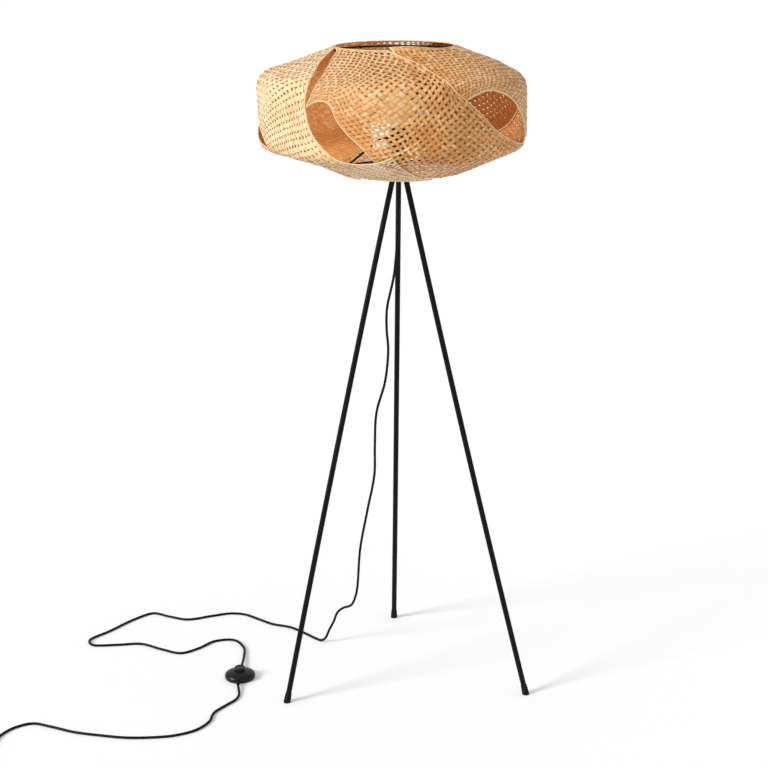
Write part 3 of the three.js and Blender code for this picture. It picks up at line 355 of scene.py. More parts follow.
def bamboo_skin(look, fibre, fine, broad, crossing):
    """The skin's colour and its joints: tinted strip by strip, spotted, streaked, with painted shade where it
    dips under a crossing strip.
    """
    split = look.node("ShaderNodeSeparateXYZ")
    look.link(fibre, split.inputs[0])
    along, seed = split.outputs["X"], split.outputs["Z"]
    tint = look.node("ShaderNodeTexWhiteNoise", noise_dimensions="1D")
    look.link(seed, tint.inputs["W"])
    # How pale the skin is: partly the bamboo's own tone, partly painted light, palest where the ribbons face
    # the sun
    pale_and_lit = look.attribute("pale_and_lit")
    plain = look.mix(pale_and_lit, SKIN_ORANGE, SKIN_PALE)
    light = look.mix(pale_and_lit, SKIN_ORANGE_LIGHT, SKIN_PALE_LIGHT)
    skin = look.mix(broad, plain, light)
    skin = look.mix(look.span(tint.outputs["Value"], 0.5, 1.0, 0, 0.6), skin, SKIN_TAN)
    flecks = look.grain(fibre, (40, 20, 7), 1, 0.4)
    skin = look.mix(look.span(flecks, 0.56, 0.62, 0, 0.45), skin, SKIN_CREAM)
    spots = look.math("MULTIPLY_ADD", look.noise(look.place(), 9), 0.9, look.grain(fibre, (26, 30, 10), 2))
    strength = look.math("MULTIPLY_ADD", pale_and_lit, -0.7, 0.85)
    skin = look.mix(look.math("MULTIPLY", look.span(spots, 0.95, 1.06), strength), skin, SKIN_WARM)
    skin = look.mix(look.span(fine, 0.35, 0.6, 0.35, 0), skin, SKIN_STREAK)
    contrast = look.math("MULTIPLY_ADD", pale_and_lit, -0.65, 1.0)
    # Painted shade where the strip dips under its crossing strip, weaker on paler skin
    dip_shade = look.math("MULTIPLY", look.span(crossing, -0.9, 0.2, 0.6, 0), contrast)
    skin = look.mix(dip_shade, skin, SKIN_PAINTED_DIP_SHADE)
    edge = look.math("MULTIPLY", look.span(look.attribute("rim"), 0.5, 1.0, 0, 0.55), contrast)
    skin = look.mix(edge, skin, SKIN_EDGE)
    cycle = look.math("FRACT", look.math("MULTIPLY_ADD", seed, 0.37, look.math("MULTIPLY", along, 3.1)))
    joint = look.math("COMPARE", cycle, 0.5, 0.005)
    return look.mix(look.math("MULTIPLY", joint, 0.5), skin, SKIN_JOINT), joint


def bamboo_flesh(look, fibre, broad, crossing):
    """The flesh's colour: mottled, with painted shade in the weave's hollows and where a ribbon lies in
    shade, and painted light where it is lit.
    """
    bright = look.mix(broad, FLESH_BRIGHT, FLESH_BRIGHT_LIGHT)
    dark = look.mix(broad, FLESH_PAINTED_SHADE, FLESH_PAINTED_SHADE_PALER)
    # Painted shade in the hollows where a strip passes behind its crossing strip, seen from inside
    recess_shade = look.mix(look.span(crossing, -0.1, 0.8, 0, 0.8), bright, FLESH_PAINTED_RECESS_SHADE)
    specks = look.grain(fibre, (110, 60, 10), 1, 0.4)
    mottled = look.mix(look.span(specks, 0.54, 0.60, 0, 0.7), recess_shade, FLESH_MOTTLE)
    return look.mix(look.attribute("painted_lit"), look.mix(look.attribute("painted_shade"), mottled, dark), FLESH_PAINTED_LIT)


def bamboo():
    """Split bamboo strip: pale skin outside, orange flesh inside, fibre streaks, patches, darker edges."""
    look = Look("bamboo", (0.74, 0.50, 0.25), 0.48)
    socket(look.shader, "Specular IOR Level", 0.35)
    fibre = look.attribute("fibre", "Vector")
    fine = look.grain(fibre, (18, 1500, 10), 4, 0.6)
    broad = look.span(look.grain(fibre, (14, 260, 10), 3), 0.3, 0.7)
    crossing = look.attribute("crossing")
    skin, joint = bamboo_skin(look, fibre, fine, broad, crossing)
    flesh = bamboo_flesh(look, fibre, broad, crossing)
    look.feed("Base Color", look.mix(look.span(look.attribute("flesh"), 0.2, 0.8), skin, flesh))
    look.feed("Roughness", look.span(fine, 0.2, 0.8, 0.6, 0.40))
    look.bump(look.math("ADD", fine, look.math("MULTIPLY", joint, 1.5)), 0.00012)
    return look.material


def edging():
    """Pale bamboo binding along the ribbons' edges."""
    look = Look("bamboo_edging", (0.80, 0.60, 0.36), 0.5)
    fibre = look.attribute("fibre", "Vector")
    fine = look.grain(fibre, (14, 900, 10), 4, 0.6)
    broad = look.grain(fibre, (25, 120, 10), 2)
    base = look.mix(look.span(broad, 0.35, 0.7), EDGING, EDGING_LIGHT)
    look.feed("Base Color", look.mix(look.span(fine, 0.35, 0.6, 0.25, 0), base, EDGING_STREAK))
    look.feed("Roughness", look.span(fine, 0.2, 0.8, 0.6, 0.42))
    look.bump(fine, 0.00012)
    return look.material


def plain_look(name, base, tones, stain, gloss, wear, bump=None, specular=0.5, inner=None):
    """Tones that follow one noise and a gloss that follows another, each with its scale, detail and span."""
    look = Look(name, *base)
    socket(look.shader, "Specular IOR Level", specular)
    if inner:
        socket(look.shader, "Subsurface Weight", inner[0])
        socket(look.shader, "Subsurface Radius", inner[1])
    place = look.place()
    scale, detail, low, high = stain
    look.feed("Base Color", look.mix(look.span(look.noise(place, scale, detail), low, high), *tones))
    scale, detail, low, high = wear
    look.feed("Roughness", look.span(look.noise(place, scale, detail), low, high, *gloss))
    if bump:
        scale, detail, distance = bump
        look.bump(look.noise(place, scale, detail), distance)
    return look.material


LOOKS = {"bamboo": bamboo(), "edging": edging()}
PLAIN_LOOKS = {
    "black_steel": dict(
        base=((0.006, 0.006, 0.007), 0.38), specular=0.13,
        tones=((0.002, 0.002, 0.0025), (0.004, 0.004, 0.0045)), stain=(40, 2, 0.3, 0.7),
        gloss=(0.30, 0.42), wear=(60, 3, 0.3, 0.7), bump=(900, 2, 0.00006),
    ),
    "black_rubber": dict(
        base=((0.005, 0.005, 0.005), 0.72), specular=0.16,
        tones=((0.003, 0.003, 0.003), (0.009, 0.009, 0.009)), stain=(120, 3, 0.35, 0.7),
        gloss=(0.62, 0.82), wear=(250, 3, 0.3, 0.7), bump=(1400, 3, 0.00008),
    ),
    "black_plastic": dict(
        base=((0.004, 0.004, 0.005), 0.3), specular=0.28,
        tones=((0.003, 0.003, 0.0035), (0.006, 0.006, 0.007)), stain=(90, 3, 0.35, 0.7),
        gloss=(0.22, 0.38), wear=(160, 4, 0.3, 0.75), bump=(2200, 2, 0.00003),
    ),
    "cord_jacket": dict(
        base=((0.004, 0.004, 0.004), 0.5), specular=0.12,
        tones=((0.002, 0.002, 0.0025), (0.005, 0.005, 0.0055)), stain=(60, 3, 0.35, 0.7),
        gloss=(0.38, 0.55), wear=(300, 3, 0.3, 0.7), bump=(1800, 2, 0.00005),
    ),
    "black_tie": dict(
        base=((0.006, 0.006, 0.006), 0.5), specular=0.25,
        tones=((0.004, 0.004, 0.004), (0.009, 0.009, 0.009)), stain=(200, 3, 0.35, 0.7),
        gloss=(0.42, 0.6), wear=(400, 2, 0.3, 0.7), bump=(2500, 2, 0.00004),
    ),
    "zinc_steel": dict(
        base=((0.58, 0.59, 0.61), 0.3, 1.0),
        tones=((0.48, 0.49, 0.50), (0.66, 0.67, 0.69)), stain=(180, 4, 0.3, 0.7),
        gloss=(0.24, 0.42), wear=(300, 4, 0.3, 0.7), bump=(1500, 2, 0.00004),
    ),
    "brass": dict(
        base=((0.60, 0.42, 0.16), 0.3, 1.0),
        tones=((0.50, 0.33, 0.11), (0.68, 0.49, 0.20)), stain=(220, 3, 0.3, 0.7),
        gloss=(0.25, 0.45), wear=(500, 3, 0.3, 0.7),
    ),
    "white_insulator": dict(
        base=((0.85, 0.83, 0.78), 0.25),
        tones=((0.82, 0.79, 0.73), (0.88, 0.86, 0.82)), stain=(150, 3, 0.35, 0.7),
        gloss=(0.2, 0.34), wear=(200, 3, 0.3, 0.7),
    ),
    "bulb_glass": dict(
        base=((0.90, 0.89, 0.85), 0.18), inner=(0.3, (0.01, 0.01, 0.009)),
        tones=((0.88, 0.865, 0.82), (0.93, 0.92, 0.89)), stain=(30, 2, 0.3, 0.7),
        gloss=(0.14, 0.24), wear=(120, 3, 0.3, 0.7),
    ),
}
for look_name, look_values in PLAIN_LOOKS.items():
    LOOKS[look_name] = plain_look(look_name, **look_values)


# Cords

def free_cord(name, line, nodes):
    data = bpy.data.curves.new(name, "CURVE")
    data.dimensions = "3D"
    data.bevel_depth = CORD_DIAMETER / 2 * MM
    data.bevel_resolution = 5
    data.use_fill_caps = True
    spline = data.splines.new("POLY")
    spline.points.add(len(line) - 1)
    for point, at in zip(spline.points, world(line)):
        point.co = (*at, 1)
    spline.use_smooth = True
    data.materials.append(LOOKS["cord_jacket"])
    piece = add_object(name, data)
    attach(piece, "lamp")
    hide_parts(*nodes)
    return piece


def on_floor(places):
    """Places on the floor as points of a cord that lies there."""
    return [[x, y, CORD_LIFT] for x, y in places]


DROP_ROUTE = [
    [0, 0, 1160], [-12, 14, 980], [-30, 24, 890], [-31, 30, 840], [-28, 36, 790], [-36, 47, 711],
    [-57, 58, 632], [-62, 72, 545], [-64, 84, 470], [-82, 98, 374], [-101, 115, 270], [-114, 139, 137],
    [-127, 142, 108], [-145, 146, 100], [-157, 148, 91], [-164, 150, 80], [-170, 153, 62], [-182, 157, 37],
    [-193, 161, 12], [-203, 166, 4],
    *on_floor([
        (-216, 177), (-248, 213), (-286, 250), (-334, 272), (-372, 304), (-412, 336), (-450, 342),
        (-500, 324), (-555, 304), (-606, 324), (-650, 346), (-690, 312), (-748, 230), (-788, 176),
        (-776, 146), (-715, 146), (-655, 151), (-600, 118), (-548, 94), (-508, 122), (-470, 166),
        (-425, 172), (-396, 128),
    ]),
    [-390, 66, 5],
]
RUN_ROUTE = [
    [-386, -124, 4.5],
    *on_floor([
        (-384, -145), (-390, -170), (-406, -194), (-433, -237), (-440, -282), (-466, -324), (-512, -350),
        (-566, -359), (-618, -359), (-679, -347), (-738, -331), (-799, -302), (-840, -287), (-874, -304),
        (-899, -340),
    ]),
]
SWITCH_REACH = SWITCH_DIAMETER / 2 + SWITCH_RELIEF_LENGTH + GAP
DROP_START = [0, 0, LEG_TOP - 2 * GAP - RELIEF_LENGTH]
DROP_END = [SWITCH_X, SWITCH_Y + SWITCH_REACH, SWITCH_CORD_HEIGHT]
RUN_START = [SWITCH_X, SWITCH_Y - SWITCH_REACH, SWITCH_CORD_HEIGHT]
COIL_SPREAD = COIL_TURNS / 4 * COIL_SPACING
COIL_OUTER = COIL_MIDDLE_DIAMETER / 2 + COIL_SPREAD
COIL_INNER = COIL_MIDDLE_DIAMETER / 2 - COIL_SPREAD


def coil_point(share):
    turns_in = share * COIL_TURNS
    half = COIL_TURNS / 2
    radius = COIL_OUTER - (COIL_OUTER - COIL_INNER) * (1 - abs(turns_in - half) / half)
    climb = float(smooth((turns_in - half + 1 / 4) * 2))
    angle = math.radians(COIL_START_TURN) - 2 * math.pi * turns_in
    return np.array([
        COIL_X + radius * math.cos(angle),
        COIL_Y + radius * math.sin(angle),
        COIL_BASE + COIL_SPACING * climb,
    ])


def coil_heading(share, sign):
    step = coil_point(share + sign * HEADING_STEP) - coil_point(share)
    step[2] = 0
    return step / np.linalg.norm(step)


COIL_AWAY = -coil_heading(1, -1)


def run_line():
    """From the switch over the floor, round the coil and straight on to the plug."""
    heading = coil_heading(0, 1)
    entry = coil_point(0) - heading * CORD_DIAMETER
    meet = entry - heading * GAP
    lead = meet - heading * CORD_DIAMETER
    run = catmull_rom([RUN_START, *RUN_ROUTE, lead, meet], RUN_SAMPLES)
    steps = round(COIL_TURNS * COIL_SAMPLES)
    coil = [coil_point(i / steps) for i in range(steps + 1)]
    last = coil_point(1)
    tail = []
    for i in range(1, TAIL_SAMPLES + 1):
        at = last + COIL_AWAY * COIL_TAIL * i / TAIL_SAMPLES
        at[2] = last[2] + (PLUG_AXIS - last[2]) * float(smooth((i / TAIL_SAMPLES - 1 / 3) * 2))
        tail.append(at)
    return np.array([*run, entry, *coil, *tail])


drop_line = catmull_rom([DROP_START, *DROP_ROUTE, DROP_END], DROP_SAMPLES)
cord_to_switch = free_cord("cord_to_switch", drop_line, ["cord_drop"])
cord_to_plug = free_cord("cord_to_plug", run_line(), ["cord_run", "cord_coil"])


# Mesh helpers

def new_piece(name, points, faces, look, body="lamp", replaces=(), slot=None, sharp=40):
    mesh = bpy.data.meshes.new(name)
    mesh.from_pydata(world(points).tolist(), [], faces)
    mesh.polygons.foreach_set("use_smooth", [True] * len(mesh.polygons))
    mesh.set_sharp_from_angle(angle=math.radians(sharp))
    mesh.materials.append(LOOKS[look])
    piece = add_object(name, mesh)
    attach(piece, body)
    if replaces:
        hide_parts(*replaces)
    return piece


def turned(profile, sides):
    """A turned solid: [radius, height] points, from the axis to the axis, or a loop that closes."""
    loop = profile[0][0] > 0
    points, rings = [], []
    for radius, height in profile:
        if radius == 0:
            rings.append([len(points)] * sides)
            points.append((0, 0, height))
            continue
        rings.append(list(range(len(points), len(points) + sides)))
        for i in range(sides):
            angle = 2 * math.pi * i / sides
            points.append((radius * math.cos(angle), radius * math.sin(angle), height))
    pairs = list(zip(rings, rings[1:])) + ([(rings[-1], rings[0])] if loop else [])
    faces = []
    for low, high in pairs:
        for i in range(sides):
            j = (i + 1) % sides
            face = [low[i], low[j], high[j], high[i]]
            kept = [v for n, v in enumerate(face) if v != face[n - 1]]
            if len(kept) > 2:
                faces.append(kept)
    return np.array(points, float), faces


def swept(line, section, closed=False):
    """A solid whose section, a ring of (across, over) points, follows a line."""
    line = np.array(line, float)
    n, k = len(line), len(section)
    after, before = np.roll(line, -1, 0), np.roll(line, 1, 0)
    if not closed:
        after[-1], before[0] = line[-1], line[0]
    heading = unit(after - before)
    over = np.array([0, 0, 1.0]) if abs(heading[0][2]) < 0.9 else np.array([0, 1.0, 0])
    points = []
    for at, along in zip(line, heading):
        over = over - along * (over @ along)
        over /= np.linalg.norm(over)
        across = np.cross(along, over)
        points += [at + across * x + over * y for x, y in section]
    faces = []
    for i in range(n if closed else n - 1):
        for s in range(k):
            t = (s + 1) % k
            j = (i + 1) % n
            faces.append([i * k + s, i * k + t, j * k + t, j * k + s])
    if not closed:
        faces.append(list(range(k - 1, -1, -1)))
        faces.append(list(range((n - 1) * k, n * k)))
    return np.array(points), faces


def circle(radius, sides):
    angles = (2 * math.pi * i / sides for i in range(sides))
    return [(radius * math.cos(angle), radius * math.sin(angle)) for angle in angles]


def moved(points, matrix):
    turn = np.array(matrix, float)
    return np.asarray(points, float) @ turn[:3, :3].T + turn[:3, 3]


# Legs

def leg_matrix(number):
    turn = math.radians(BACK_LEG_TURN + 120 * number)
    foot = Vector((FOOT_REACH * math.cos(turn), FOOT_REACH * math.sin(turn), 0))
    upward = (Vector((0, 0, LEG_APEX)) - foot).normalized()
    matrix = Vector((0, 0, 1)).rotation_difference(upward).to_matrix().to_4x4()
    matrix.translation = foot
    return matrix


TILT = math.atan2(FOOT_REACH, LEG_APEX)
LEG_RADIUS = LEG_DIAMETER / 2
LEG_LOW = (CAP_FLOOR + LEG_RADIUS * math.sin(TILT)) / math.cos(TILT)
LEG_HIGH = (LEG_TOP - GAP - LEG_RADIUS * math.sin(TILT)) / math.cos(TILT)


def bent(points, side):
    """The points with the side's small bend, none at the hub."""
    share = np.clip(points[:, 2:3] / LEG_TOP, 0, 1)
    aside = LEG_SHIFT[side] * (1 - share) + LEG_SAG[side] * 4 * share * (1 - share)
    return points + aside * np.array([1.0, 0, 0])


def add_legs():
    """Three tubes, each in a rubber cap that stands flat on the floor."""
    inner = LEG_RADIUS - LEG_WALL
    stations = np.linspace(LEG_LOW + LEG_BEVEL, LEG_HIGH - LEG_BEVEL, LEG_STATIONS)
    tube = turned([
        (inner, LEG_LOW), (LEG_RADIUS - LEG_BEVEL, LEG_LOW), *((LEG_RADIUS, at) for at in stations),
        (LEG_RADIUS - LEG_BEVEL, LEG_HIGH), *((inner, at) for at in stations[::-1]),
    ], LEG_SIDES)
    neck = CAP_NECK_DIAMETER / 2
    foot = CAP_DIAMETER / 2
    fit = LEG_RADIUS + GAP
    high = CAP_LENGTH / math.cos(TILT)
    cap = turned([
        (0, 0), (foot * 0.55, 0), (foot * 0.93, 0.1), (foot, 1.2), (foot, 3.5), (foot * 0.985, 7),
        (neck + 0.35, high * 0.72), (neck, high * 0.9), (neck - 0.1, high - 0.5), (neck - 0.4, high),
        (fit, high), (fit, LEG_LOW - GAP), (0, LEG_LOW - GAP),
    ], LEG_SIDES)
    level = cap[0][:, 2]
    for number, side in enumerate(("back", "left", "right")):
        matrix = leg_matrix(number)
        points = bent(moved(tube[0], matrix), side)
        new_piece(f"leg_{side}_tube", points, tube[1], "black_steel", replaces=[f"leg_{side}"])
        points = bent(moved(cap[0], matrix), side)
        points[level < CAP_SOLE, 2] = np.maximum(points[level < CAP_SOLE, 2], 0)
        points[level <= CAP_FLAT, 2] = 0
        new_piece(f"foot_cap_{side}_rubber", points, cap[1], "black_rubber", replaces=[f"foot_cap_{side}"])


# Lantern surface

def side_line():
    corners = np.array([
        (RIM_RADIUS, RIM_HEIGHT), (SHOULDER_RADIUS, UPPER_SHOULDER),
        (SHOULDER_RADIUS, LOWER_SHOULDER), (LOWER_RIM_RADIUS, LOWER_RIM_HEIGHT),
    ], float)
    line = [corners[0]]
    for i, ease in ((1, UPPER_EASE), (2, LOWER_EASE)):
        ends = []
        for other in (corners[i - 1], corners[i + 1]):
            way = other - corners[i]
            ends.append(corners[i] + way / np.linalg.norm(way) * ease)
        for t in np.linspace(0, 1, 13):
            line.append((1 - t) ** 2 * ends[0] + 2 * t * (1 - t) * corners[i] + t * t * ends[1])
    line.append(corners[3])
    return np.array(line)


SIDE = side_line()
SIDE_AT = distances(SIDE)
SIDE_LENGTH = SIDE_AT[-1]


def side_point(distance):
    return np.stack([np.interp(distance, SIDE_AT, SIDE[:, k]) for k in (0, 1)], -1)


def side_normal(distance):
    along = unit(side_point(distance + LOWER_EASE / 4) - side_point(distance - LOWER_EASE / 4))
    return np.stack([-along[..., 1], along[..., 0]], -1)


def sideways(height):
    """How far the lantern's middle stands aside of the legs' axis."""
    rise = smooth((height - UPPER_SHOULDER) / (RIM_HEIGHT - UPPER_SHOULDER))
    fall = smooth((LOWER_SHOULDER - height) / (LOWER_SHOULDER - LOWER_RIM_HEIGHT))
    above = BODY_OFFSET + (TOP_OFFSET - BODY_OFFSET) * rise
    below = BODY_OFFSET - BODY_OFFSET * fall
    return np.where(height >= UPPER_SHOULDER, above, below)


# Where the lantern leaves its even shape: turn, share, height in mm, reach round the axis and down the side
SWELLS = [(292, 0.81, -8, 26, 0.14), (82, 0.31, -7, 30, 0.07), (268, 0.36, 4, 25, 0.10)]


def swell(turn, share):
    total = 0.0
    for at, down, height, wide, tall in SWELLS:
        aside = (turn - at + 180) % 360 - 180
        total = total + height * np.exp(-(aside / wide) ** 2 - ((share - down) / tall) ** 2)
    return total


# Where a ribbon's top rim curls up: turn, height in mm, reach round the axis and down the side
RIM_CURL = {"right": (9, 9, 26, 0.025)}


def rim_curl(side, turn, share):
    if side not in RIM_CURL:
        return 0.0
    at, height, wide, tall = RIM_CURL[side]
    return height * np.exp(-((turn - at) / wide) ** 2 - (share / tall) ** 2)


def lantern_point(turn, share, lift):
    lift = lift + swell(turn, share)
    base = side_point(share * SIDE_LENGTH)
    normal = side_normal(share * SIDE_LENGTH)
    radius = base[..., 0] + normal[..., 0] * lift
    angle = np.radians(turn)
    x = sideways(base[..., 1]) + radius * np.sin(angle)
    return np.stack([x, -radius * np.cos(angle), base[..., 1] + normal[..., 1] * lift], -1)


# Ribbon outlines, as stations of (degrees round the axis, share of the way down the side)
REGULAR = {
    "upper": [
        (-76, 0), (-42, 0), (-8, 0), (4, 0.065), (11, 0.108), (16, 0.15), (20, 0.225), (24, 0.31), (27, 0.37),
        (32, 0.41), (39.5, 0.475), (47.5, 0.545), (56, 0.59), (65, 0.62), (77, 0.635),
    ],
    "lower": [
        (-47, 0.45), (-40.5, 0.407), (-34, 0.382), (-27, 0.372), (-20, 0.39), (-12, 0.425), (-4, 0.48),
        (2, 0.53), (5.5, 0.575), (7, 0.63), (8, 0.7), (10, 0.78), (14, 0.86), (20, 0.925), (28, 0.97),
        (36, 0.992), (46, 1), (80, 1), (105, 1),
    ],
    "start": [(-68, 0.06), (-60, 0.14), (-54, 0.24), (-50, 0.33), (-48, 0.39)],
    "end": [(79, 0.72), (82, 0.82), (87, 0.9), (93, 0.955), (99, 0.985)],
}
FRONT = {
    **REGULAR,
    "lower": [
        (-39.5, 0.455), (-35, 0.417), (-31, 0.403), (-28, 0.403), (-25.3, 0.424), (-23, 0.475),
        (-18.6, 0.532), (-14, 0.575), (-10.4, 0.614), (-7, 0.66), (-4, 0.74), (2, 0.84), (11, 0.915),
        (22, 0.965), (32, 0.99), (44, 1), (80, 1), (105, 1),
    ],
    "start": [(-59, 0.03), (-48.5, 0.1), (-42, 0.16), (-38, 0.22), (-34.5, 0.29), (-34, 0.355), (-35.5, 0.4)],
}
LEFT = {
    **REGULAR,
    "lower": [
        (-47, 0.45), (-40.5, 0.42), (-34, 0.41), (-27, 0.43), (-20, 0.475), (-12, 0.52), (-5, 0.565),
        (1, 0.6), (5.5, 0.635), (7.5, 0.68), (9, 0.735), (12, 0.81), (16, 0.875), (22, 0.935), (29, 0.975),
        (37, 0.994), (46, 1), (80, 1), (105, 1),
    ],
    "upper": [
        (-76, 0), (-42, 0), (-8, 0), (3, 0.02), (13, 0.08), (19.5, 0.137), (27, 0.211), (33, 0.297),
        (35, 0.355), (34.6, 0.42), (35.6, 0.482), (37.4, 0.532), (40, 0.569), (43.5, 0.605), (48, 0.64),
        (54, 0.667), (61, 0.67), (67, 0.652), (72, 0.63),
    ],
    "end": [(74.4, 0.67), (76.8, 0.76), (81, 0.85), (86, 0.915), (92, 0.96), (99, 0.985)],
}
BACK_RIGHT = {
    **REGULAR,
    "upper": [
        (-76, 0), (-42, 0), (-3, 0), (5, 0.055), (11, 0.108), (16, 0.15), (20, 0.225), (24, 0.31), (27, 0.37),
        (30, 0.44), (33, 0.52), (36, 0.6), (38.5, 0.72), (41, 0.81), (45, 0.86), (52, 0.87), (60, 0.84),
        (69, 0.76), (77, 0.66),
    ],
    "lower": [
        (-47, 0.45), (-40.5, 0.5), (-34, 0.56), (-27, 0.61), (-20, 0.65), (-12, 0.68), (-4, 0.705),
        (2, 0.745), (7, 0.82), (12, 0.89), (17, 0.93), (22, 0.945), (30, 0.97), (38, 0.99), (48, 1),
        (80, 1), (105, 1),
    ],
}
BACK_LEFT = {
    **REGULAR,
    "lower": [
        (-47, 0.45), (-44, 0.5), (-40, 0.56), (-36, 0.595), (-30, 0.61), (-26, 0.64), (-24.5, 0.7),
        (-23.5, 0.77), (-21, 0.83), (-15, 0.87), (-6, 0.895), (6, 0.92), (24, 0.955), (39, 0.973), (48, 1),
        (80, 1), (105, 1),
    ],
}
RIBBONS = [
    ("front", 0, FRONT), ("right", 72, REGULAR), ("back_right", 144, BACK_RIGHT),
    ("back_left", 216, BACK_LEFT), ("left", 288, LEFT),
]

# A strip's width as a share of the pitch, and how pale the skin is at a ribbon's start and end: partly the
# bamboo's own tone, partly painted light, palest on the left ribbon, which faces the sun
FILL = {
    "front": (0.56, 0.60), "right": (0.66, 0.72), "back_right": (0.87, 0.88), "back_left": (0.93, 0.94),
    "left": (0.54, 0.66),
}
PALE_AND_LIT = {
    "front": (0.75, 0.15), "right": (0.05, 0.4), "back_right": (0.2, 0.2), "back_left": (0.4, 0.4),
    "left": (1.0, 1.0),
}
# Where strips are wider or narrower than that: place along and across, reach, and the change of the share
TIGHT = {
    "front": [
        (0.27, 0.66, 0.07, 0.24), (0.34, 0.51, 0.055, 0.31), (0.385, 0.74, 0.05, -0.12),
        (0.14, 0.3, 0.16, -0.17), (0.9, 0.5, 0.25, 0.08),
    ],
    "right": [(0.8, 0.4, 0.3, 0.2)],
    "back_right": [(0.92, 0.62, 0.09, -0.45)],
    "back_left": [(0.07, 0.04, 0.09, -0.5)],
    "left": [(0.38, 0.62, 0.06, 0.3), (0.87, 0.15, 0.04, -0.25)],
}
# Painted shade and painted light on a ribbon's inner face, at its start and end
PAINTED_SHADE = {"back_right": (1.0, 0.0), "right": (0.5, 0.5)}
PAINTED_LIT = {"back_left": (0.9, 0.0)}
TABLE_LENGTH = 241
TABLE_WIDTH = 81
EDGE_SAMPLES = 160


def even_walk(stations, places):
    """Turn and share at the places, which are shares of the line's real length."""
    chart = [(math.radians(turn) * SHOULDER_RADIUS, share * SIDE_LENGTH) for turn, share in stations]
    curve = catmull_rom(chart, EDGE_SAMPLES)
    turn = np.degrees(curve[:, 0] / SHOULDER_RADIUS)
    share = np.clip(curve[:, 1] / SIDE_LENGTH, 0, 1)
    at = distances(lantern_point(turn, share, 0))
    reach = places * at[-1]
    return np.stack([np.interp(reach, at, turn), np.interp(reach, at, share)], -1)


def ribbon_lift(u, v):
    start = RISE["upper_start"] + (RISE["lower_start"] - RISE["upper_start"]) * v
    run = RISE["upper_run"] + (RISE["lower_run"] - RISE["upper_run"]) * v
    return LAYER_HEIGHT * smooth((u - start) / run)


def ribbon_table(outline, own_turn, side):
    """Turn, share and lift over the ribbon, with even steps across its width."""
    u = np.linspace(0, 1, TABLE_LENGTH)
    v = np.linspace(0, 1, TABLE_WIDTH)
    upper, lower = outline["upper"], outline["lower"]
    top, low = even_walk(upper, u), even_walk(lower, u)
    start = even_walk([upper[0], *outline["start"], lower[0]], v)
    end = even_walk([upper[-1], *outline["end"], lower[-1]], v)
    U, V = u[:, None, None], v[None, :, None]
    edges = (1 - V) * top[:, None] + V * low[:, None]
    sides = (1 - U) * start[None] + U * end[None]
    corners = (1 - U) * ((1 - V) * top[0] + V * low[0]) + U * ((1 - V) * top[-1] + V * low[-1])
    chart = edges + sides - corners
    chart[..., 1] = np.clip(chart[..., 1], 0, 1)
    chart[..., 0] += own_turn
    lift = ribbon_lift(u[:, None], v[None, :]) + rim_curl(side, chart[..., 0], chart[..., 1])
    table = np.concatenate([chart, lift[..., None]], -1)
    for row, line in zip(table, lantern_point(chart[..., 0], chart[..., 1], 0)):
        at = distances(line)
        row[:] = np.stack([np.interp(v * at[-1], at, row[:, k]) for k in range(3)], -1)
    return table


def look_up(table, u, v):
    """The table's values between its grid points."""
    x = np.clip(u, 0, 1) * (TABLE_LENGTH - 1)
    y = np.clip(v, 0, 1) * (TABLE_WIDTH - 1)
    i = np.minimum(x.astype(int), TABLE_LENGTH - 2)
    j = np.minimum(y.astype(int), TABLE_WIDTH - 2)
    a, b = (x - i)[..., None], (y - j)[..., None]
    near = table[i, j] * (1 - b) + table[i, j + 1] * b
    far = table[i + 1, j] * (1 - b) + table[i + 1, j + 1] * b
    return near * (1 - a) + far * a


def lean(along):
    return SHEAR_START + SHEAR_GROWTH * along


class Wander:
    """A smooth random value along a line or over a surface, the same each run."""

    def __init__(self, random, size, slowest, terms=4):
        """Each wave has its height, its rate along, its phase and its rate across."""
        self.waves = [
            (size / (1 + n) ** 0.7, slowest * (1 + n) * random.uniform(0.7, 1.3),
             random.uniform(0, 2 * math.pi), random.uniform(-1, 1) * slowest)
            for n in range(terms)
        ]

    def __call__(self, along, across=0.0):
        return sum(a * np.sin(f * along + g * across + p) for a, f, p, g in self.waves)


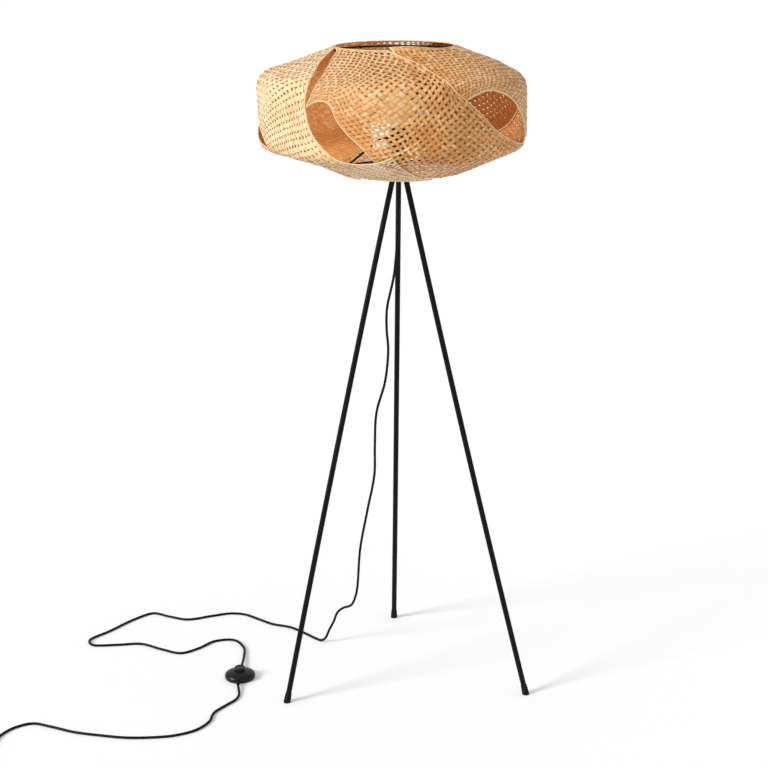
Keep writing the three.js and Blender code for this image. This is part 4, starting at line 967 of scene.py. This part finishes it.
class Weave:
    """One ribbon's plain weave, as solid strips that pass over and under each other."""

    # Section points from one side to the other over the top, and back underneath
    SIDES = np.array([-1, 0, 1, 0.9, -0.9])
    HEIGHTS = STRIP_THICKNESS / 2 * np.array([1, 1, 1, -1, -1]) + STRIP_CROWN * np.array([0, 1, 0, 0, 0])
    RIM = [1, 0, 1, 1, 1]
    FLESH = [0, 0, 0, 1, 1]

    def __init__(self, table, random, fill, tight):
        self.table = table
        self.random = random
        self.row_share, self.column_share = fill
        self.tight = tight
        self.waviness = Wander(random, size=0.35, slowest=7.0)
        self.points, self.faces, self.reach = [], [], []
        self.fibre, self.rim, self.flesh, self.crossing = [], [], [], []
        self.count = 0

    def surface(self, along, across, lift):
        u = along + lean(along) * (0.5 - across)
        spread = UPPER_SPREAD * (1 - smooth((u - 0.3) / 0.3))
        v = across + spread * across * (1 - across)
        u = u - START_CROWD * np.sin(2 * math.pi * np.clip(u, 0, 1)) * (1 - u / 2)
        turn, share, layer = np.moveaxis(look_up(self.table, u, v), -1, 0)
        return lantern_point(turn, share, layer + lift + self.waviness(along * 9, across * 5))

    def fill(self, base, along, across):
        """A strip's width as a share of the pitch."""
        base = base * self.random.uniform(0.94, 1.05)
        for a, b, size, more in self.tight:
            away = (along - a) ** 2 + ((across - b) * TIGHT_ASPECT) ** 2
            base = base + more * np.exp(-away / size ** 2)
        return np.minimum(base, FILL_MOST)

    def add(self, along, across, wave, seed):
        """Adds a strip, given arrays of stations by section points."""
        steps, k = along.shape
        points = self.surface(along, across, wave)
        self.points.append(points.reshape(-1, 3))
        index = self.count + np.arange(steps * k).reshape(steps, k)
        near, far = index[:-1], index[1:]
        quads = np.stack([near, np.roll(near, -1, 1), np.roll(far, -1, 1), far], -1).reshape(-1, 4)
        self.faces += quads.tolist()
        self.faces += [index[0][::-1].tolist(), index[-1].tolist()]
        fibre = np.empty((steps, k, 3))
        fibre[..., 0] = distances(points[:, 1])[:, None] * MM
        fibre[..., 1] = self.SIDES * FIBRE_HALF
        fibre[..., 2] = seed
        self.fibre.append(fibre.reshape(-1, 3))
        self.reach.append(along.reshape(-1))
        self.crossing.append(((wave - self.HEIGHTS) / WAVE).reshape(-1))
        self.rim += self.RIM * steps
        self.flesh += self.FLESH * steps
        self.count += steps * k

    def rows(self):
        for j in range(ROWS):
            centre = (j + 0.5) / ROWS
            k = 0.5 - centre
            first = -SHEAR_START * k / (1 + SHEAR_GROWTH * k)
            last = (1 - SHEAR_START * k) / (1 + SHEAR_GROWTH * k)
            steps = math.ceil((last - first) * COLUMNS * STEPS_PER_CROSSING)
            along = np.linspace(first, last, steps + 1)[:, None]
            jitter = Wander(self.random, size=0.035, slowest=14.0)
            width = Wander(self.random, size=0.03, slowest=25.0)
            half = self.fill(self.row_share, along, centre) * (1 + width(along)) / 2 / ROWS
            across = centre + jitter(along) / ROWS + half * self.SIDES
            wave = WAVE * np.cos(math.pi * (along * COLUMNS - 0.5 - j)) + self.HEIGHTS
            along = np.broadcast_to(along, across.shape)
            self.add(along, across, wave, self.random.uniform(0, 50))

    def columns(self):
        beyond = math.ceil(lean(1) / 2 * COLUMNS)
        for i in range(-beyond - 1, COLUMNS + beyond + 1):
            centre = (i + 0.5) / COLUMNS
            jitter = Wander(self.random, size=0.04, slowest=9.0)
            seed = self.random.uniform(0, 50)
            side = centre + self.column_share / 2 / COLUMNS * self.SIDES
            first = np.maximum(0, 0.5 - (1 - side) / lean(side))
            last = np.minimum(1, 0.5 + side / lean(side))
            if (last - first).min() < 1 / ROWS:
                continue
            steps = math.ceil((last - first).max() * ROWS * STEPS_PER_CROSSING)
            t = np.linspace(0, 1, steps + 1)[:, None]
            across = first + (last - first) * t
            wide = self.fill(self.column_share, centre, across)
            along = centre + jitter(across) / COLUMNS + wide / 2 / COLUMNS * self.SIDES
            wave = -WAVE * np.cos(math.pi * (across * ROWS - 0.5 - i)) + self.HEIGHTS
            self.add(along, across, wave, seed)

    def blend(self, ends, start, run):
        """A value that goes from the first to the second of the ends along the ribbon."""
        return ends[0] + (ends[1] - ends[0]) * smooth((np.concatenate(self.reach) - start) / run)

    def piece(self, name, node, pale_and_lit, painted_shade, painted_lit):
        made = new_piece(name, np.concatenate(self.points), self.faces, "bamboo", replaces=[node], sharp=50)
        put_attribute(made, "fibre", np.concatenate(self.fibre))
        put_attribute(made, "rim", self.rim)
        put_attribute(made, "flesh", self.flesh)
        put_attribute(made, "pale_and_lit", self.blend(pale_and_lit, 0, 0.42))
        put_attribute(made, "crossing", np.concatenate(self.crossing))
        # Painted shade on the inner faces, along the ribbon
        put_attribute(made, "painted_shade", self.blend(painted_shade, 0.42, 0.2))
        # Painted light on the inner faces, along the ribbon
        put_attribute(made, "painted_lit", self.blend(painted_lit, 0.12, 0.07))


def put_attribute(piece, name, values):
    """Keeps a number or a vector for each point of the piece."""
    values = np.asarray(values, np.float32)
    kind, field = ("FLOAT", "value") if values.ndim == 1 else ("FLOAT_VECTOR", "vector")
    attribute = piece.data.attributes.new(name, kind, "POINT")
    attribute.data.foreach_set(field, values.ravel())


# A ribbon's four edges: whether the edge runs across the ribbon, its place the other way, its binding's width
EDGES = [
    (False, 0.0, BINDING_WIDTH), (False, 1.0, LIP_WIDTH),
    (True, 0.0, BINDING_WIDTH), (True, 1.0, BINDING_WIDTH),
]


def channel(width):
    """A binding's section: from its lip on the outer face, round the edge, to its lip on the inner face."""
    high = BINDING_HALF_HEIGHT
    outer = [
        (width, high - 0.35), (width * 0.55, high + 0.25), (width * 0.12, high + 0.1), (-0.7, high * 0.55),
    ]
    return [*outer, (-0.95, 0), *((x, -z) for x, z in reversed(outer))]


def sheet_point(table, u, v, lift=0):
    turn, share, layer = np.moveaxis(look_up(table, u, v), -1, 0)
    return lantern_point(turn, share, layer + lift)


def binding(name, table):
    """Folded strips along the ribbon's four edges, each one a closed channel round the strips' ends."""
    random = np.random.default_rng(len(name))
    points, faces, fibre = [], [], []
    count = 0
    for is_across, fixed, width in EDGES:
        steps, inset = (140, 0.004) if is_across else (320, 0.012)
        t = np.linspace(0, 1, steps + 1)
        edge = np.full_like(t, fixed)
        within = edge + (inset if fixed == 0 else -inset)
        place, inner = ((edge, t), (within, t)) if is_across else ((t, edge), (t, within))
        at_edge = sheet_point(table, *place)
        outward = sheet_point(table, *place, 1) - at_edge
        pull = sheet_point(table, *inner) - at_edge
        along = unit(np.gradient(at_edge, axis=0))
        pull -= along * np.sum(pull * along, 1, keepdims=True)
        pull = unit(pull)
        section = channel(width)
        ripple = 1 + 0.10 * Wander(random, size=0.12, slowest=60)(t)
        length = distances(at_edge) * MM
        k, n = len(section), steps + 1
        for x, z in section:
            points.append(at_edge + pull * (x * ripple[:, None]) + outward * z)
            seed = random.uniform(0, 40)
            fibre.append(np.stack([length, np.full(n, (x + z) * MM), np.full(n, seed)], -1))
        index = count + (np.arange(k)[:, None] * n + np.arange(n)[None]).T
        near, far = index[:-1], index[1:]
        quads = np.stack([near, far, np.roll(far, -1, 1), np.roll(near, -1, 1)], -1).reshape(-1, 4)
        faces += quads.tolist()
        faces += [index[0].tolist(), index[-1][::-1].tolist()]
        count += k * n
    made = new_piece(name, np.concatenate(points), faces, "edging", slot="bamboo", sharp=60)
    put_attribute(made, "fibre", np.concatenate(fibre))


def add_ribbons():
    for number, (side, turn, outline) in enumerate(RIBBONS):
        table = ribbon_table(outline, turn, side)
        weave = Weave(table, np.random.default_rng(40 + number), FILL[side], TIGHT.get(side, ()))
        weave.rows()
        weave.columns()
        tones = PALE_AND_LIT[side], PAINTED_SHADE.get(side, (0, 0)), PAINTED_LIT.get(side, (0, 0))
        weave.piece(f"weave_{side}", f"ribbon_{side}", *tones)
        binding(f"binding_{side}", table)


# Rings and ties

RING_SEAT = -(RIBBON_THICKNESS / 2 + GAP + RING_WIRE / 2)


def ring_place(share):
    inward = RING_WIRE / 2 if share < 0.5 else -RING_WIRE / 2
    distance = np.array(share * SIDE_LENGTH + inward)
    radius, height = side_point(distance) + side_normal(distance) * RING_SEAT
    return float(radius), float(height)


TOP_RING = (ring_place(0)[0], ring_place(0)[1] - TOP_SAG)
BOTTOM_RING = ring_place(1)

# Each ring's ties: ring, offset, tilt, degrees from a ribbon's turn to its tie, and where its head points
TIE_ROWS = [("top", TOP_RING, TOP_OFFSET, TOP_TILT, 0, 200), ("bottom", BOTTOM_RING, 0, 0, 43, -60)]
# A tie's locking head with the cut end on it: half the width across its corners, and height
TIE_HEAD = [
    (0, 0), (2.2, 0), (2.5, 0.3), (2.5, 2.0), (2.2, 2.3), (1.2, 2.3), (1.0, 2.0), (1.0, 3.1), (0, 3.1),
]
TIE_HEAD_STRETCH = 1.15  # of one diagonal


def ring_line(radius, height, offset=0, tilt=0, steps=160):
    angle = np.linspace(0, 2 * np.pi, steps, endpoint=False)
    aside, back = radius * np.cos(angle), radius * np.sin(angle)
    return np.stack([offset + aside, back, height - tilt * np.sin(angle)], -1)


def add_top_ring():
    ring = swept(ring_line(*TOP_RING, TOP_OFFSET, TOP_TILT), circle(RING_WIRE / 2, 12), closed=True)
    new_piece("top_ring_wire", *ring, "black_steel", replaces=["top_ring"])


def tie_band():
    """A strap closed round a wire that runs along Z, with its locking head at +X and a cut end."""
    middle = RING_WIRE / 2 + GAP + TIE_THICKNESS / 2
    wide, high = TIE_WIDTH / 2, TIE_THICKNESS / 2
    flat, steep = wide - TIE_EDGE, high - TIE_EDGE
    points, faces = swept(ring_line(middle, 0, steps=28), [
        (-steep, -wide), (-high, -flat), (-high, flat), (-steep, wide),
        (steep, wide), (high, flat), (high, -flat), (steep, -wide),
    ], closed=True)
    head, head_faces = turned(TIE_HEAD, 4)
    head = head[:, [2, 0, 1]] * np.array([1, 1, TIE_HEAD_STRETCH])
    square = math.radians(45)
    y, z = head[:, 1].copy(), head[:, 2].copy()
    head[:, 1] = y * math.cos(square) - z * math.sin(square)
    head[:, 2] = y * math.sin(square) + z * math.cos(square)
    head[:, 0] += middle
    faces += [[v + len(points) for v in face] for face in head_faces]
    return np.concatenate([points, head]), faces


def add_ties():
    points, faces = tie_band()
    up = Vector((0, 0, 1))
    for place, (radius, height), offset, tilt, seam, head in TIE_ROWS:
        head = math.radians(head)
        for number, (_, turn, _) in enumerate(RIBBONS, 1):
            angle = math.radians(turn + seam - 90)
            out = Vector((math.cos(angle), math.sin(angle), 0))
            along = Vector((-math.sin(angle), math.cos(angle), 0))
            headed = out * math.cos(head) + up * math.sin(head)
            matrix = Matrix((headed, along.cross(headed), along)).transposed().to_4x4()
            matrix.translation = out * radius + Vector((offset, 0, height - tilt * math.sin(angle)))
            name = f"{place}_tie_{number}"
            new_piece(f"{name}_strap", moved(points, matrix), faces, "black_tie", replaces=[name], sharp=30)


# Foot switch

def at_switch(points):
    return np.asarray(points, float) + np.array([SWITCH_X, SWITCH_Y, 0])


BUTTON_RADIUS = BUTTON_DIAMETER / 2
FLANGE_TOP = SWITCH_DOME - SWITCH_WALL - GAP
FLANGE_HEIGHT = 1.8
FLANGE_WIDTH = 1.6
STEM_RADIUS = 4
STEM_BOTTOM = 6.6
SPRING_DIAMETER = 13
SPRING_WIRE = 0.8
SPRING_TURNS = 3
SPRING_STEPS = 30  # for each turn
SPRING_EASE = 0.35  # how far the coils crowd at the spring's ends
SPRING_BASE = 0.008


def add_cover():
    """A low dome, as radius and height up its outside to the button's hole and back down inside."""
    hole = BUTTON_RADIUS + GAP
    profile = [
        (33.2, GAP), (35.0, 1.3), (36.1, 3.4), (36.5, 6.2), (36.4, 8.6), (35.7, 10.8), (34.0, 13.0),
        (31.0, 15.0), (27.0, 16.6), (22.5, 17.9), (18.5, 19.0), (16.2, 19.9), (14.6, 20.2), (13.6, 19.8),
        (hole, 18.7), (hole, 17.5), (16.5, 17.3), (25.0, 15.0), (30.0, 13.0), (33.4, 10.0), (34.4, 6.5),
        (33.6, 3.0), (31.6, GAP),
    ]
    points, faces = turned(profile, 72)
    new_piece("switch_dome", at_switch(points), faces, "black_plastic", "lamp", ["switch_cover"], sharp=50)


def add_button():
    """A stem, a flange that the cover holds down, and a cap with a hollow top."""
    flange = BUTTON_RADIUS + FLANGE_WIDTH
    under = FLANGE_TOP - FLANGE_HEIGHT
    rim = [(-1.6, 0), (-2.6, -0.15), (-5, -0.9), (-8, -1.25)]
    edge = [(0, -1.6), (-0.2, -0.9), (-0.7, -0.3)]
    profile = [
        (0, STEM_BOTTOM), (STEM_RADIUS - 0.4, STEM_BOTTOM), (STEM_RADIUS, STEM_BOTTOM + 0.4),
        (STEM_RADIUS, under), (flange, under), (flange, FLANGE_TOP), (BUTTON_RADIUS, FLANGE_TOP),
        *((BUTTON_RADIUS + x, BUTTON_TOP + z) for x, z in edge + rim), (0, BUTTON_TOP - 1.4),
    ]
    points, faces = turned(profile, 64)
    new_piece("button_cap", at_switch(points), faces, "black_plastic", "button", ["switch_button"], sharp=50)


def add_spring():
    """The return spring, with its coils a little closer at both ends."""
    steps = SPRING_TURNS * SPRING_STEPS
    low = SPRING_BASE / MM + SPRING_WIRE / 2
    high = FLANGE_TOP - FLANGE_HEIGHT - GAP - SPRING_WIRE / 2
    radius = (SPRING_DIAMETER - SPRING_WIRE) / 2
    line = []
    for i in range(steps + 1):
        share = i / steps
        angle = 2 * math.pi * SPRING_TURNS * share
        climb = float(smooth(share)) * SPRING_EASE + share * (1 - SPRING_EASE)
        line.append([radius * math.cos(angle), radius * math.sin(angle), low + (high - low) * climb])
    points, faces = swept(line, circle(SPRING_WIRE / 2, 10))
    spring = new_piece("spring_coil", at_switch(points), faces, "zinc_steel", "lamp", ["switch_spring"])
    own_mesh(spring)


add_legs()
add_ribbons()
add_top_ring()
add_ties()
add_cover()
add_button()
add_spring()


def dress_nodes():
    """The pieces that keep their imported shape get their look, by the record's slots."""
    slots = {row["node"]: row["material_slot"] for row in frame["record"]["subparts"]}
    for name, node in frame["nodes"].items():
        if node.hide_render:
            continue
        node.data.materials.clear()
        node.data.materials.append(LOOKS[slots[name]])
        node.data.polygons.foreach_set("use_smooth", [True] * len(node.data.polygons))
        node.data.set_sharp_from_angle(angle=math.radians(35))


dress_nodes()

line_length(run_line()) * MM


# Stage

def add_stage():
    """A plain floor that takes the lamp's shadow, and glows a little where the camera sees it."""
    size = 30
    corners = [(-size, -size, 0), (size, -size, 0), (size, size, 0), (-size, size, 0)]
    mesh = bpy.data.meshes.new("floor")
    mesh.from_pydata(corners, [], [(0, 1, 2, 3)])
    add_object("floor", mesh)
    look = bpy.data.materials.new("floor")
    look.use_nodes = True
    nodes = Nodes(look.node_tree)
    nodes.tree.nodes.clear()
    seen = nodes.node("ShaderNodeLightPath").outputs["Is Camera Ray"]
    matt = nodes.node("ShaderNodeBsdfDiffuse")
    socket(matt, "Color", (0.80, 0.80, 0.80, 1))
    glow = nodes.node("ShaderNodeEmission")
    nodes.link(nodes.math("MULTIPLY", seen, 0.14), glow.inputs["Strength"])
    both = nodes.node("ShaderNodeAddShader")
    nodes.put(both.inputs, (matt.outputs[0], glow.outputs[0]))
    out = nodes.node("ShaderNodeOutputMaterial")
    nodes.link(both.outputs[0], out.inputs["Surface"])
    mesh.materials.append(look)


def add_world():
    """White all round, a third weaker as light than where the camera sees it."""
    surround = bpy.data.worlds.new("studio")
    bpy.context.scene.world = surround
    surround.use_nodes = True
    nodes = Nodes(surround.node_tree)
    background = nodes.tree.nodes["Background"]
    socket(background, "Color", (1, 1, 1, 1))
    seen = nodes.node("ShaderNodeLightPath").outputs["Is Camera Ray"]
    nodes.link(nodes.span(seen, 0.0, 1.0, 0.66, 1.0), background.inputs["Strength"])


def add_light(name, kind, energy, travel, **values):
    """A light that shines along its travel."""
    data = bpy.data.lights.new(name, kind)
    data.energy = energy
    for key, value in values.items():
        setattr(data, key, value)
    light = add_object(name, data)
    light.rotation_mode = "QUATERNION"
    light.rotation_quaternion = Vector(travel).to_track_quat("-Z", "Y")
    return light


def add_inner_light():
    """A soft spot inside the shade for the woven wall seen through its left window."""
    cone = math.radians(52)
    spot = add_light(
        "inner_spot", "SPOT", 2.2, (-137, 395, -95), spot_size=cone, spot_blend=0.9, shadow_soft_size=0.03,
    )
    spot.location = world([-40, -150, 1370])
    spot.visible_camera = False


add_stage()
add_world()
add_light("soft_sun", "SUN", 2.8, (1, 0.585, -0.64), angle=math.radians(17))
add_inner_light()
bpy.context.scene.view_settings.view_transform = "Standard"
